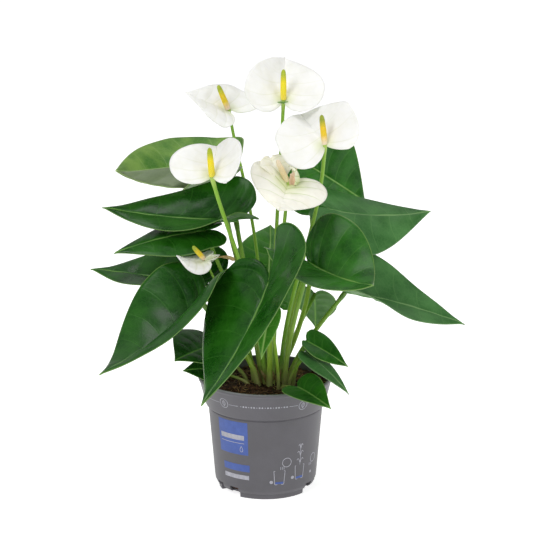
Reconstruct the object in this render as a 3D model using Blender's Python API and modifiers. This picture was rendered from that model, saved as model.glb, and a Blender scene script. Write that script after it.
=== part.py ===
"""Potted anthurium: a grey nursery pot of peat with eighteen leaves and six white flowers.

Lengths in the tables are millimetres and angles are degrees; SCALE turns them into metres.
The origin is the centre of the pot's base, +Z is up and the plant's front faces -Y.
"""
import math

import bmesh
import bpy
from mathutils import Matrix, Vector

SCALE = 0.001
GAP = 0.3                     # clearance between pieces that touch
SHARP_ANGLE = 35.0            # edges bent more than this stay sharp on round pieces

# Pot, a 12 cm nursery pot
POT_HEIGHT = 103.0
RIM_RADIUS = 60.0             # outer edge of the lip
LIP_DEPTH = 2.4               # height of the lip's upright outer face, top edge included
LIP_PROUD = 1.0               # how far the lip stands out from the band
LIP_WIDTH = 2.0
EDGE_ROUND = 0.7
BAND_FOOT_RADIUS = 53.2       # lower end of the conical rim band
BAND_FOOT_Z = 77.5
BODY_TOP_RADIUS = 51.2        # under the step below the band
BODY_FOOT_RADIUS = 45.8
BODY_FOOT_Z = 12.0            # below this the wall turns in towards the feet
SKIRT_Z = 5.0                 # lower edge of the wall between the feet
WALL = 1.4
FLOOR = 1.6
FOOT_RING = (37.5, 42.5)      # inner and outer radius of the ring that the feet are cut from
CHANNEL_RADIUS = 25.0         # the raised drainage channel lies between this and the foot ring
CHANNEL_Z = 4.0
CHANNEL_DRAFT = 1.5           # how far the channel's inner side leans outward
FOOT_COUNT = 3
FOOT_SPAN = 84.0              # angle that each foot covers
FOOT_CENTRE = -80.0           # direction of the front foot's middle
NOTCH_SPAN = 12.0             # angle of the drainage notch beside each end of a foot
NOTCH_TOP = 9.5
CUT_OVER = 1.0                # how far a cutter runs past what it cuts
DRAIN_HOLES = 6
DRAIN_RADIUS = 3.5
DRAIN_CIRCLE = 31.0
POT_SIDES = 48
CROWN_SIDES = 12

# Peat and the short stem base that every stalk grows from
SOIL_EDGE_Z = 94.0
SOIL_CENTRE_Z = 97.0
SOIL_RADIUS = 54.0
CROWN_CENTRE = (5.0, 0.0)
CROWN_RADIUS = 5.0
CROWN_HEIGHT = 16.0

# Leaf and spathe sheets
BLADE_THICKNESS = 1.1
SPATHE_THICKNESS = 1.0
BLADE_GRID = (8, 3)           # rows along the midrib, columns from midrib to margin
SMALL_GRID = (6, 2)
SMALL_LENGTH = 60.0           # blades shorter than this take the small grid
SPATHE_GRID = (6, 3)
LOBE_REAR = 0.44              # a lobe's rear end lies at this share of the half width
LOBE_OUTLINE = ((0.0, 1.0), (0.36, 1.05), (0.56, 0.45))     # from there, and shares of the lobe
TIP_OUTLINE = ((1.0, 0.42), (0.30, 0.74))                   # shares of half width and length
WIDEST_SHARE = 0.4            # share of the half outline that lies behind the widest point
VEIN_SPACING = 1.5            # side veins crowd towards the stalk by this power
VEIN_REACH = 0.36             # length of a side vein's control arms
VEIN_TURN = (28.0, 18.0)      # how much the side veins arch, at the lobes and at the tip

# Stalks and spadices
STALK_POINTS = 9
STALK_FLARE = 0.25            # how much thicker a stalk is at its foot
STALK_LEAN = 0.12             # share of its reach that a stalk covers while it is steep
STALK_ARRIVE = 0.74
STALK_STOP = 1.2              # a stalk ends this far under its blade
STALK_LIFT = 1.4              # its lower end, tilted, stays this far above the peat
STALK_STEEP = 0.42            # how much of its height a stalk gains before it leans out
SPADIX_LIFT = 1.5             # a spadix starts this far above its stalk
SPADIX_PROFILE = ((0.0, 0.95), (0.3, 1.0), (0.6, 0.92), (0.8, 0.84), (0.93, 0.66), (1.0, 0.30))
SPATHE_AHEAD = 2.8            # a spathe starts this many spadix radii ahead of the stalk
SINUS_CLEAR = 3.0             # and leaves this much room beside the spadix

# Each leaf: where its stalk meets the blade, how it is turned, and the shape of the blade.
# turn is the heading of the midrib seen from above, pitch its rise and roll its tilt to the right.
# lobe is how far the two rear lobes reach back and wide is where the blade is widest.
# droop bends the midrib down, lift raises the lobes, and the folds raise each half at base and tip.
LEAVES = {
    "back_left_top": dict(at=(-35, 109, 253), turn=197, pitch=-3, roll=56, length=142, width=128,
                          lobe=26, wide=0.22, droop=-61, lift=80, fold_left=(81, 98),
                          fold_right=(-4, -11), curl=(3, -31), base=(160, 8.5), stalk=2.0,
                          steep=0.78, bow=(-10, -8), rear=0.85),
    "left_upper": dict(at=(-26, 30, 238), turn=180, pitch=0, roll=36, length=120, width=92, lobe=17,
                       wide=0.00, droop=-16, lift=-11, fold_left=(55, -1), fold_right=(22, -17),
                       curl=(3, -24), base=(195, 8.5), stalk=2.0, steep=0.42, bow=(0, -6)),
    "left_middle": dict(at=(-52, 14, 232), turn=189, pitch=-3, roll=6, length=85, width=62, lobe=16,
                        wide=0.12, droop=19, lift=-5, fold_left=(-6, -38), fold_right=(5, 9),
                        curl=(-10, -7), base=(178, 15.5), stalk=1.7),
    "left_low": dict(at=(-60, 34, 177), turn=163, pitch=7, roll=15, length=106, width=94, lobe=23,
                     wide=0.16, droop=8, lift=16, fold_left=(29, -4), fold_right=(25, -4),
                     curl=(10, 4), base=(155, 15.5), stalk=1.8, steep=0.42, bow=(0, 4)),
    "front_left": dict(at=(-54, -30, 178), turn=228, pitch=-23, roll=-7, length=129, width=105,
                       lobe=22, wide=0.16, droop=-13, lift=-1, fold_left=(58, 9),
                       fold_right=(45, -10), curl=(-37, -2), base=(218, 15.5), stalk=2.0),
    "front_centre": dict(at=(3, -65, 206), turn=-111, pitch=-36, roll=-50, length=142, width=118,
                         lobe=40, wide=0.11, droop=-13, lift=58, fold_left=(-5, -10),
                         fold_right=(41, 21), curl=(2, -13), base=(-95, 15.5), stalk=2.2),
    "back_centre": dict(at=(2, 52, 172), turn=86, pitch=37, roll=-11, length=88, width=70, lobe=30,
                        wide=0.19, droop=24, lift=10, fold_left=(22, 21), fold_right=(10, 9),
                        curl=(-1, -10), base=(110, 15.5), stalk=1.8),
    "front_right": dict(at=(37, -12, 210), turn=-55, pitch=-8, roll=-16, length=101, width=101,
                        lobe=15, wide=0.15, droop=-19, lift=-12, fold_left=(41, -27),
                        fold_right=(34, -11), curl=(8, 13), base=(-40, 15.5), stalk=2.0),
    "right_upper": dict(at=(56, 57, 242), turn=26, pitch=-18, roll=-17, length=106, width=104,
                        lobe=29, wide=0.18, droop=-24, lift=15, fold_left=(2, 2),
                        fold_right=(-4, -32), curl=(-10, -17), base=(15, 8.5), stalk=2.0),
    "right_low": dict(at=(71, 6, 179), turn=8, pitch=-13, roll=-22, length=117, width=90, lobe=30,
                      wide=0.17, droop=12, lift=10, fold_left=(26, -2), fold_right=(32, -6),
                      curl=(6, 11), base=(2, 15.5), stalk=1.9, steep=0.3, bow=(0, 6)),
    "back_right": dict(at=(41, 119, 268), turn=10, pitch=-33, roll=-71, length=67, width=88,
                       lobe=30, wide=0.17, droop=11, lift=10, fold_left=(13, 16), fold_right=(0, 0),
                       curl=(-1, -10), base=(50, 8.5), stalk=1.9, steep=0.5, bow=(32, 0),
                       arrive=(-42, 33, -57)),
    "back_low": dict(at=(45, 62, 161), turn=84, pitch=-58, roll=-13, length=42, width=46, lobe=7,
                     wide=0.12, droop=13, lift=9, fold_left=(0, 0), fold_right=(-5, -2),
                     curl=(-10, -13), base=(52, 15.5), stalk=1.6),
    "small_right_upper": dict(at=(37, -16, 139), turn=-12, pitch=-25, roll=-16, length=43, width=42,
                              lobe=4, wide=0.16, droop=12, lift=10, fold_left=(4, 9),
                              fold_right=(21, -12), curl=(-5, -2), base=(-22, 21.5), stalk=1.4),
    "small_right_middle": dict(at=(36, -27, 132), turn=-22, pitch=-31, roll=-4, length=53, width=34,
                               lobe=4, wide=0.20, droop=19, lift=10, fold_left=(-10, 10),
                               fold_right=(5, -2), curl=(-13, -8), base=(-44, 22), stalk=1.3),
    "small_right_rim": dict(at=(28, -53, 109), turn=-49, pitch=-6, roll=-17, length=43, width=37,
                            lobe=5, wide=0.13, droop=17, lift=9, fold_left=(16, 4),
                            fold_right=(16, 11), curl=(0, 1), base=(-64, 24.0), stalk=1.3),
    "small_left": dict(at=(-48, 2, 130), turn=229, pitch=0, roll=15, length=47, width=70, lobe=10,
                       wide=0.20, droop=11, lift=10, fold_left=(-1, 6), fold_right=(3, 3),
                       curl=(-11, -7), base=(186, 22.0), stalk=1.4),
    "small_left_rim": dict(at=(-46, -8, 111), turn=192, pitch=6, roll=24, length=28, width=32,
                           lobe=5, wide=0.13, droop=17, lift=10, fold_left=(0, 0),
                           fold_right=(4, 9), curl=(-10, -7), base=(203, 24.0), stalk=1.2),
    "small_front": dict(at=(4, -56, 177), turn=-112, pitch=-57, roll=1, length=42, width=22, lobe=6,
                        wide=0.11, droop=11, lift=10, fold_left=(4, -1), fold_right=(0, 0),
                        curl=(-8, -10), base=(-72, 21.5), stalk=1.3),
}

# Each flower: the same words for its spathe, with the spadix's lean, length and radius.
FLOWERS = {
    "upper_left": dict(at=(-33, 75, 328), turn=179, pitch=23, roll=24, length=42, width=71, lobe=9,
                       wide=0.07, droop=0, lift=13, fold_left=(13, 20), fold_right=(12, 17),
                       curl=(-5, -14), base=(125, 8.5), stalk=1.6, steep=0.62, bow=(0, 20),
                       lean=(-9, -1, 22), spadix=2.6),
    "top": dict(at=(16, 50, 341), turn=86, pitch=42, roll=-12, length=53, width=76, lobe=12,
                wide=0.14, droop=20, lift=12, fold_left=(3, 48), fold_right=(33, 28),
                curl=(25, -10), base=(88, 8.5), stalk=1.8, lean=(0, 0, 27), spadix=2.7),
    "right": dict(at=(52, 4, 310), turn=117, pitch=29, roll=21, length=59, width=78, lobe=16,
                  wide=0.31, droop=24, lift=-21, fold_left=(1, 57), fold_right=(30, 34),
                  curl=(-4, -1), base=(-20, 8.5), stalk=1.9, steep=0.42, bow=(0, 5),
                  arrive=(-3, 16, -85), lean=(-3, -1, 26), spadix=2.7),
    "left": dict(at=(-45, -36, 290), turn=86, pitch=32, roll=-1, length=49, width=77, lobe=9,
                 wide=0.12, droop=20, lift=-29, fold_left=(24, 47), fold_right=(46, 68),
                 curl=(-14, 4), base=(232, 8.5), stalk=2.0, lean=(-2, -1, 25), spadix=2.8),
    "centre": dict(at=(20, -12, 280), turn=-100, pitch=-17, roll=15, length=47, width=71, lobe=14,
                   wide=0.08, droop=-1, lift=16, fold_left=(8, -13), fold_right=(23, -9),
                   curl=(-10, -5), base=(-80, 8.5), stalk=1.8, steep=0.42, bow=(0, 8),
                   lean=(-9, 3, 19), spadix=2.6),
    "low": dict(at=(-52, -18, 213), turn=172, pitch=-12, roll=6, length=26, width=41, lobe=7,
                wide=0.08, droop=-43, lift=11, fold_left=(-4, 2), fold_right=(15, -7),
                curl=(-21, -16), base=(199, 15.5), stalk=1.1, lean=(-10, -2, 12), spadix=2.2),
}

# The dried bract still held beside one flower's stalk
SHEATH = dict(turn=178, pitch=22, roll=0, length=17, width=7, lobe=1.5, wide=0.35, droop=30,
              lift=0, fold_left=(30, 12), fold_right=(30, 12), curl=(15, 15))
SHEATH_FLOWER = "left"
SHEATH_STEP = 4               # the stalk point that it stands beside
SHEATH_SHIFT = (-7.5, -3.5, 9.0)
SHEATH_THICKNESS = 0.8

COLOURS = {                   # linear base colour, roughness, metallic
    "moulded_grey": ((0.130, 0.125, 0.140), 0.45, 0.0),
    "peat": ((0.030, 0.015, 0.008), 0.95, 0.0),
    "stem_base": ((0.120, 0.100, 0.045), 0.70, 0.0),
    "leaf": ((0.020, 0.075, 0.012), 0.40, 0.0),
    "petiole": ((0.170, 0.260, 0.050), 0.45, 0.0),
    "spathe": ((0.880, 0.880, 0.840), 0.45, 0.0),
    "spadix": ((0.720, 0.650, 0.030), 0.60, 0.0),
    "dry_bract": ((0.380, 0.330, 0.130), 0.80, 0.0),
}


def clear_scene():
    for old in list(bpy.data.objects):
        bpy.data.objects.remove(old, do_unlink=True)


def make_materials():
    made = {}
    for name, (colour, roughness, metallic) in COLOURS.items():
        material = bpy.data.materials.new(name)
        material.use_nodes = True
        shader = material.node_tree.nodes["Principled BSDF"]
        shader.inputs["Base Color"].default_value = (*colour, 1.0)
        shader.inputs["Roughness"].default_value = roughness
        shader.inputs["Metallic"].default_value = metallic
        made[name] = material
    return made


def make_collection(name):
    collection = bpy.data.collections.new(name)
    bpy.context.scene.collection.children.link(collection)
    return collection


def add_object(name, data, collection, material):
    piece = bpy.data.objects.new(name, data)
    collection.objects.link(piece)
    if material is not None:
        data.materials.append(material)
    return piece


def mesh_from_bmesh(name, shape, smooth=True):
    mesh = bpy.data.meshes.new(name)
    shape.to_mesh(mesh)
    shape.free()
    if smooth:
        mesh.shade_smooth()
    return mesh


def turned_piece(name, profile, sides, collection, material):
    """A solid turned from (radius, height) points that run down its outer side."""
    shape = bmesh.new()
    points = [shape.verts.new((radius * SCALE, 0.0, height * SCALE)) for radius, height in profile]
    for start, end in zip(points, points[1:]):
        shape.edges.new((start, end))
    piece = add_object(name, mesh_from_bmesh(name, shape, smooth=False), collection, material)
    screw = piece.modifiers.new("turn", "SCREW")
    screw.angle = math.tau
    screw.steps = sides
    screw.render_steps = sides
    screw.use_merge_vertices = True
    screw.merge_threshold = 0.00005
    return piece


def cut(piece, cutter, label):
    cutter.hide_render = True
    cutter.display_type = "WIRE"
    boolean = piece.modifiers.new(label, "BOOLEAN")
    boolean.operation = "DIFFERENCE"
    boolean.solver = "EXACT"
    boolean.object = cutter


def settle(piece):
    """Applies a round piece's modifiers and shades it smooth between its real edges."""
    seen = piece.evaluated_get(bpy.context.evaluated_depsgraph_get())
    mesh = bpy.data.meshes.new_from_object(seen)
    mesh.shade_smooth()
    mesh.set_sharp_from_angle(angle=math.radians(SHARP_ANGLE))
    piece.modifiers.clear()
    piece.data = mesh


# Pot

def pot_profile():
    """Points from the floor's middle up the inside, over the lip and down the outside."""
    floor_top = CHANNEL_Z + FLOOR
    step = BODY_TOP_RADIUS - WALL
    outside = [
        (RIM_RADIUS - EDGE_ROUND, POT_HEIGHT),
        (RIM_RADIUS, POT_HEIGHT - EDGE_ROUND),
        (RIM_RADIUS, POT_HEIGHT - LIP_DEPTH),
        (RIM_RADIUS - LIP_PROUD, POT_HEIGHT - LIP_DEPTH - LIP_PROUD),
        (BAND_FOOT_RADIUS + 2.0 * GAP, BAND_FOOT_Z + WALL),
        (BAND_FOOT_RADIUS, BAND_FOOT_Z),
        (BODY_TOP_RADIUS, BAND_FOOT_Z - GAP),
        (BODY_FOOT_RADIUS, BODY_FOOT_Z),
        (BODY_FOOT_RADIUS - 0.5, BODY_FOOT_Z - 4.0),
        (FOOT_RING[1] + WALL, SKIRT_Z),
        (FOOT_RING[1], SKIRT_Z),
        (FOOT_RING[1] - 0.5, 0.0),
        (FOOT_RING[0], 0.0),
        (FOOT_RING[0], CHANNEL_Z),
        (CHANNEL_RADIUS + CHANNEL_DRAFT, CHANNEL_Z),
        (CHANNEL_RADIUS, 0.0),
        (0.0, 0.0),
    ]
    inside = [
        (0.0, FLOOR),
        (CHANNEL_RADIUS + CHANNEL_DRAFT - 2.5, FLOOR),
        (CHANNEL_RADIUS + CHANNEL_DRAFT - 1.0, floor_top),
        (FOOT_RING[1] - 0.5, floor_top),
        (BODY_FOOT_RADIUS - WALL - 0.6, BODY_FOOT_Z - 3.0),
        (BODY_FOOT_RADIUS - WALL, BODY_FOOT_Z),
        (step, BAND_FOOT_Z - WALL),
        (BAND_FOOT_RADIUS - WALL, BAND_FOOT_Z + 2.0 * GAP),
        (RIM_RADIUS - LIP_PROUD - WALL, POT_HEIGHT - LIP_DEPTH - 2.0 * GAP),
        (RIM_RADIUS - LIP_WIDTH, POT_HEIGHT),
    ]
    return inside + outside


def add_box_cutter(name, collection, near, far, half_width, low, high, angle):
    """A radial block between two radii, turned to the angle."""
    shape = bmesh.new()
    bmesh.ops.create_cube(shape, size=1.0)
    size = Vector(((far - near) * SCALE, 2.0 * half_width * SCALE, (high - low) * SCALE))
    bmesh.ops.scale(shape, vec=size, verts=shape.verts)
    middle = Vector(((near + far) / 2.0, 0.0, (low + high) / 2.0)) * SCALE
    bmesh.ops.translate(shape, vec=middle, verts=shape.verts)
    bmesh.ops.rotate(shape, verts=shape.verts, cent=(0.0, 0.0, 0.0),
                     matrix=Matrix.Rotation(math.radians(angle), 3, "Z"))
    return add_object(name, mesh_from_bmesh(name, shape, smooth=False), collection, None)


def add_foot_gap_cutter(name, collection, start, span):
    """A ring sector that clears the foot ring between two feet."""
    near = FOOT_RING[0] - CUT_OVER
    far = FOOT_RING[1] + 2.0 * GAP
    low = -CUT_OVER
    high = CHANNEL_Z
    steps = 6
    shape = bmesh.new()
    columns = []
    for step in range(steps + 1):
        angle = math.radians(start + span * step / steps)
        along = Vector((math.cos(angle), math.sin(angle), 0.0))
        corners = [(near, low), (far, low), (far, high), (near, high)]
        columns.append([shape.verts.new((along * radius + Vector((0.0, 0.0, z))) * SCALE)
                        for radius, z in corners])
    for first, second in zip(columns, columns[1:]):
        for corner in range(4):
            following = (corner + 1) % 4
            shape.faces.new((first[corner], first[following], second[following], second[corner]))
    shape.faces.new(columns[0])
    shape.faces.new(list(reversed(columns[-1])))
    bmesh.ops.recalc_face_normals(shape, faces=shape.faces)
    return add_object(name, mesh_from_bmesh(name, shape, smooth=False), collection, None)


def add_drain_cutter(name, collection, angle):
    shape = bmesh.new()
    bmesh.ops.create_cone(shape, cap_ends=True, segments=12, radius1=DRAIN_RADIUS * SCALE,
                          radius2=DRAIN_RADIUS * SCALE, depth=8.0 * SCALE)
    along = Matrix.Rotation(math.radians(angle), 3, "Z") @ Vector((DRAIN_CIRCLE, 0.0, CHANNEL_Z))
    bmesh.ops.translate(shape, vec=along * SCALE, verts=shape.verts)
    return add_object(name, mesh_from_bmesh(name, shape, smooth=False), collection, None)


def make_pot(parts, cutters, materials):
    pot = turned_piece("pot", pot_profile(), POT_SIDES, parts, materials["moulded_grey"])
    pitch = 360.0 / FOOT_COUNT
    notch_width = BODY_FOOT_RADIUS * math.sin(math.radians(NOTCH_SPAN / 2.0))
    for foot in range(FOOT_COUNT):
        centre = FOOT_CENTRE + pitch * foot
        gap_start = centre + FOOT_SPAN / 2.0
        gap = add_foot_gap_cutter(f"cut_foot_gap_{foot}", cutters, gap_start, pitch - FOOT_SPAN)
        cut(pot, gap, f"foot gap {foot}")
        for end in (-1.0, 1.0):
            angle = centre + end * (FOOT_SPAN + NOTCH_SPAN) / 2.0
            notch = add_box_cutter(f"cut_notch_{foot}_{'a' if end < 0 else 'b'}", cutters,
                                   FOOT_RING[1] - 2.0 * CUT_OVER, BODY_FOOT_RADIUS + 4.0 * CUT_OVER,
                                   notch_width, CHANNEL_Z - CUT_OVER, NOTCH_TOP, angle)
            cut(pot, notch, f"notch {angle:.0f}")
    for hole in range(DRAIN_HOLES):
        angle = FOOT_CENTRE + 30.0 + hole * 360.0 / DRAIN_HOLES
        cut(pot, add_drain_cutter(f"cut_drain_{hole}", cutters, angle), f"drain {hole}")
    return pot


# Soil and crown

def soil_top(radius):
    """Height of the peat at a distance from the pot's axis."""
    return SOIL_EDGE_Z + (SOIL_CENTRE_Z - SOIL_EDGE_Z) * (1.0 - (radius / SOIL_RADIUS) ** 2)


def wall_inside(height):
    """Inner radius of the pot at a height, read off its profile."""
    inside = [point for point in pot_profile()[:10] if point[1] >= CHANNEL_Z + FLOOR]
    for (low_radius, low), (high_radius, high) in zip(inside, inside[1:]):
        if low < high and low <= height <= high:
            return low_radius + (high_radius - low_radius) * (height - low) / (high - low)
    return BODY_FOOT_RADIUS - WALL


def make_soil(parts, materials):
    side_gap = 2.0 * GAP
    third = SOIL_RADIUS / 3.0
    floor_gap = FLOOR + 2.0 * GAP
    profile = [(0.0, soil_top(0.0)),
               (third, soil_top(third)),
               (2.0 * third, soil_top(2.0 * third)),
               (wall_inside(SOIL_EDGE_Z) - side_gap, SOIL_EDGE_Z),
               (wall_inside(BAND_FOOT_Z + WALL) - 2.0 * side_gap, BAND_FOOT_Z + WALL),
               (wall_inside(BAND_FOOT_Z - 2.0 * WALL) - side_gap, BAND_FOOT_Z - 2.0 * WALL),
               (wall_inside(BODY_FOOT_Z) - side_gap, BODY_FOOT_Z),
               (FOOT_RING[1] - 1.5, CHANNEL_Z + floor_gap),
               (CHANNEL_RADIUS - 1.0, CHANNEL_Z + floor_gap),
               (CHANNEL_RADIUS - 2.5, floor_gap),
               (0.0, floor_gap)]
    return turned_piece("soil", profile, POT_SIDES, parts, materials["peat"])


def make_crown(parts, materials):
    foot = soil_top(math.hypot(*CROWN_CENTRE)) + 1.5 * GAP
    profile = [(0.0, CROWN_HEIGHT)]
    for share, height in ((0.32, 0.97), (0.52, 0.70), (0.72, 0.35), (1.0, 0.09), (1.0, 0.0)):
        profile.append((CROWN_RADIUS * share, CROWN_HEIGHT * height))
    profile.append((0.0, 0.0))
    crown = turned_piece("crown", profile, CROWN_SIDES, parts, materials["stem_base"])
    crown.location = (CROWN_CENTRE[0] * SCALE, CROWN_CENTRE[1] * SCALE, foot * SCALE)
    return crown


# Heart-shaped sheets: leaf blades and spathes

def bezier(start, pull_start, pull_end, end, share):
    rest = 1.0 - share
    return (start * rest ** 3 + pull_start * 3.0 * rest * rest * share
            + pull_end * 3.0 * rest * share * share + end * share ** 3)


def margin_point(leaf, share):
    """A point on the flat half outline, from the back of the lobe (0) to the tip (1)."""
    half = leaf["width"] / 2.0
    length = leaf["length"]
    rear = leaf.get("rear", LOBE_REAR)
    back, back_pull, side_pull = [Vector((min(rear + across, 1.0) * half, -behind * leaf["lobe"]))
                                  for across, behind in LOBE_OUTLINE]
    shoulder_pull, tip_pull = [Vector((across * half, ahead * length))
                               for across, ahead in TIP_OUTLINE]
    widest = Vector((half, leaf["wide"] * length))
    if share < WIDEST_SHARE:
        return bezier(back, back_pull, side_pull, widest, share / WIDEST_SHARE)
    return bezier(widest, shoulder_pull, tip_pull, Vector((0.0, length)),
                  (share - WIDEST_SHARE) / (1.0 - WIDEST_SHARE))


def vein_point(leaf, share, across):
    """A flat point on the side vein that leaves the midrib at one share of its length."""
    foot = Vector((0.0, leaf["length"] * share ** VEIN_SPACING))
    end = margin_point(leaf, share)
    run = (end - foot) * VEIN_REACH
    turn = math.radians(VEIN_TURN[0] + (VEIN_TURN[1] - VEIN_TURN[0]) * share)
    leave = Matrix.Rotation(-turn, 2) @ run
    arrive = Matrix.Rotation(turn, 2) @ run
    pull_start = foot + leave
    pull_start.x = max(pull_start.x, 0.0)
    flat = bezier(foot, pull_start, end - arrive, end, across)
    if flat.y < 0.0:
        flat.x = max(flat.x, min(-flat.y, leaf.get("sinus", 1.0)))
    return flat


def arc(distance, start_angle, curvature):
    """Run, rise and final angle of an arc of the given length."""
    if abs(curvature) < 1e-6:
        return distance * math.cos(start_angle), distance * math.sin(start_angle), start_angle
    end_angle = start_angle + curvature * distance
    return ((math.sin(end_angle) - math.sin(start_angle)) / curvature,
            (math.cos(start_angle) - math.cos(end_angle)) / curvature, end_angle)


def leaf_axes(leaf):
    """Unit vectors to the right of, along and out of the blade at its stalk."""
    turn = math.radians(leaf["turn"])
    pitch = math.radians(leaf["pitch"])
    roll = math.radians(leaf["roll"])
    heading = Vector((math.cos(turn), math.sin(turn), 0.0))
    level = heading.cross(Vector((0.0, 0.0, 1.0)))
    along = heading * math.cos(pitch) + Vector((0.0, 0.0, math.sin(pitch)))
    up = level.cross(along)
    right = level * math.cos(roll) + up * math.sin(roll)
    out = up * math.cos(roll) - level * math.sin(roll)
    return right, along, out


def place_on_leaf(leaf, side, flat):
    """The point of the bent blade, in millimetres, for a flat point of one half."""
    half = leaf["width"] / 2.0
    length = leaf["length"]
    if flat.y >= 0.0:
        bend = -math.radians(leaf["droop"]) / length
    else:
        bend = math.radians(leaf["lift"]) / leaf["lobe"]
    forward, rise, slope = arc(flat.y, 0.0, bend)
    which = 0 if side < 0 else 1
    base_fold, tip_fold = leaf["fold_left"] if side < 0 else leaf["fold_right"]
    share = min(max(flat.y / length, 0.0), 1.0)
    fold = math.radians(base_fold + (tip_fold - base_fold) * share)
    curl = math.radians(leaf["curl"][which]) / half
    sideways, lifted, _ = arc(flat.x, fold, curl)
    right, along, out = leaf_axes(leaf)
    return (Vector(leaf["at"]) + right * side * sideways
            + along * (forward - math.sin(slope) * lifted)
            + out * (rise + math.cos(slope) * lifted))


def make_sheet(name, leaf, grid, thickness, collection, material):
    rows, columns = grid
    shape = bmesh.new()
    midrib = []
    for row in range(rows):
        midrib.append(shape.verts.new(place_on_leaf(leaf, 1, vein_point(leaf, row / rows, 0.0)) * SCALE))
    tip = shape.verts.new(place_on_leaf(leaf, 1, Vector((0.0, leaf["length"]))) * SCALE)
    for side in (-1, 1):
        lines = []
        for row in range(rows):
            line = [midrib[row]]
            for column in range(1, columns + 1):
                flat = vein_point(leaf, row / rows, column / columns)
                line.append(shape.verts.new(place_on_leaf(leaf, side, flat) * SCALE))
            lines.append(line)
        lines.append([tip] * (columns + 1))
        for first, second in zip(lines, lines[1:]):
            for column in range(columns):
                ring = [first[column], first[column + 1], second[column + 1], second[column]]
                corners = list(dict.fromkeys(ring))
                shape.faces.new(corners if side > 0 else list(reversed(corners)))
    bmesh.ops.triangulate(shape, faces=shape.faces)
    piece = add_object(name, mesh_from_bmesh(name, shape), collection, material)
    solid = piece.modifiers.new("thickness", "SOLIDIFY")
    solid.thickness = thickness * SCALE
    solid.offset = 0.0
    solid.use_even_offset = False
    return piece


# Stalks and spadices

def tube(name, points, radii, collection, material):
    """A round stalk through points in millimetres, with a radius at each."""
    curve = bpy.data.curves.new(name, "CURVE")
    curve.dimensions = "3D"
    curve.bevel_depth = SCALE
    curve.bevel_resolution = 1
    curve.use_fill_caps = True
    spline = curve.splines.new("POLY")
    spline.points.add(len(points) - 1)
    for target, point, radius in zip(spline.points, points, radii):
        target.co = (*(point * SCALE), 1.0)
        target.radius = radius
    return add_object(name, curve, collection, material)


def stalk_foot(piece):
    angle, radius = piece["base"]
    turn = math.radians(angle)
    x = CROWN_CENTRE[0] + radius * math.cos(turn)
    y = CROWN_CENTRE[1] + radius * math.sin(turn)
    return Vector((x, y, soil_top(math.hypot(x, y)) + STALK_LIFT))


def stalk_line(piece, end):
    """Points of a stalk that leaves the crown steeply and then reaches out."""
    foot = stalk_foot(piece)
    reach = end - foot
    level = Vector((reach.x, reach.y, 0.0))
    pull_start = foot + Vector((0.0, 0.0, reach.z * piece.get("steep", STALK_STEEP))) + level * STALK_LEAN
    pull_end = end + Vector(piece["arrive"]) if "arrive" in piece else foot + reach * STALK_ARRIVE
    bow = Vector((*piece.get("bow", (0, 0)), 0.0))
    last = STALK_POINTS - 1
    points = []
    for step in range(STALK_POINTS):
        share = step / last
        aside = bow * 4.0 * share * (1.0 - share)
        points.append(bezier(foot, pull_start, pull_end, end, share) + aside)
    return points


def make_stalk(name, piece, end, collection, material):
    points = stalk_line(piece, end)
    last = STALK_POINTS - 1
    thin = piece["stalk"]
    radii = [thin * (1.0 + STALK_FLARE * (1.0 - step / last) ** 2) for step in range(STALK_POINTS)]
    return tube(name, points, radii, collection, material)


def make_leaf(place, leaf, parts, materials):
    grid = SMALL_GRID if leaf["length"] < SMALL_LENGTH else BLADE_GRID
    make_sheet(f"blade_{place}", leaf, grid, BLADE_THICKNESS, parts, materials["leaf"])
    out = leaf_axes(leaf)[2]
    end = Vector(leaf["at"]) - out * (STALK_STOP + leaf["stalk"])
    make_stalk(f"petiole_{place}", leaf, end, parts, materials["petiole"])


def make_flower(place, flower, parts, materials):
    lean = Vector(flower["lean"])
    radius = flower["spadix"]
    along = leaf_axes(flower)[1]
    middle = Vector(flower["at"])
    ahead = along * (SPATHE_AHEAD * radius + 1.0)
    spathe = dict(flower, at=tuple(middle + ahead), sinus=radius + SINUS_CLEAR)
    make_sheet(f"spathe_{place}", spathe, SPATHE_GRID, SPATHE_THICKNESS, parts, materials["spathe"])
    foot = middle + lean.normalized() * SPADIX_LIFT
    tube(f"spadix_{place}", [foot + lean * share for share, _ in SPADIX_PROFILE],
         [radius * width for _, width in SPADIX_PROFILE], parts, materials["spadix"])
    make_stalk(f"stalk_{place}", flower, middle, parts, materials["petiole"])


def make_sheath(parts, materials):
    flower = FLOWERS[SHEATH_FLOWER]
    foot = stalk_line(flower, Vector(flower["at"]))[SHEATH_STEP]
    sheath = dict(SHEATH, at=tuple(foot + Vector(SHEATH_SHIFT)))
    make_sheet("dry_sheath", sheath, SMALL_GRID, SHEATH_THICKNESS, parts, materials["dry_bract"])


def main():
    clear_scene()
    materials = make_materials()
    parts = make_collection("potted_anthurium")
    cutters = make_collection("cutters")
    round_pieces = [make_pot(parts, cutters, materials), make_soil(parts, materials),
                    make_crown(parts, materials)]
    for piece in round_pieces:
        settle(piece)
    for place, leaf in LEAVES.items():
        make_leaf(place, leaf, parts, materials)
    for place, flower in FLOWERS.items():
        make_flower(place, flower, parts, materials)
    make_sheath(parts, materials)


main()
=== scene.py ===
import math
import random

import bmesh
import bpy
from mathutils import Matrix, Vector, noise


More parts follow.
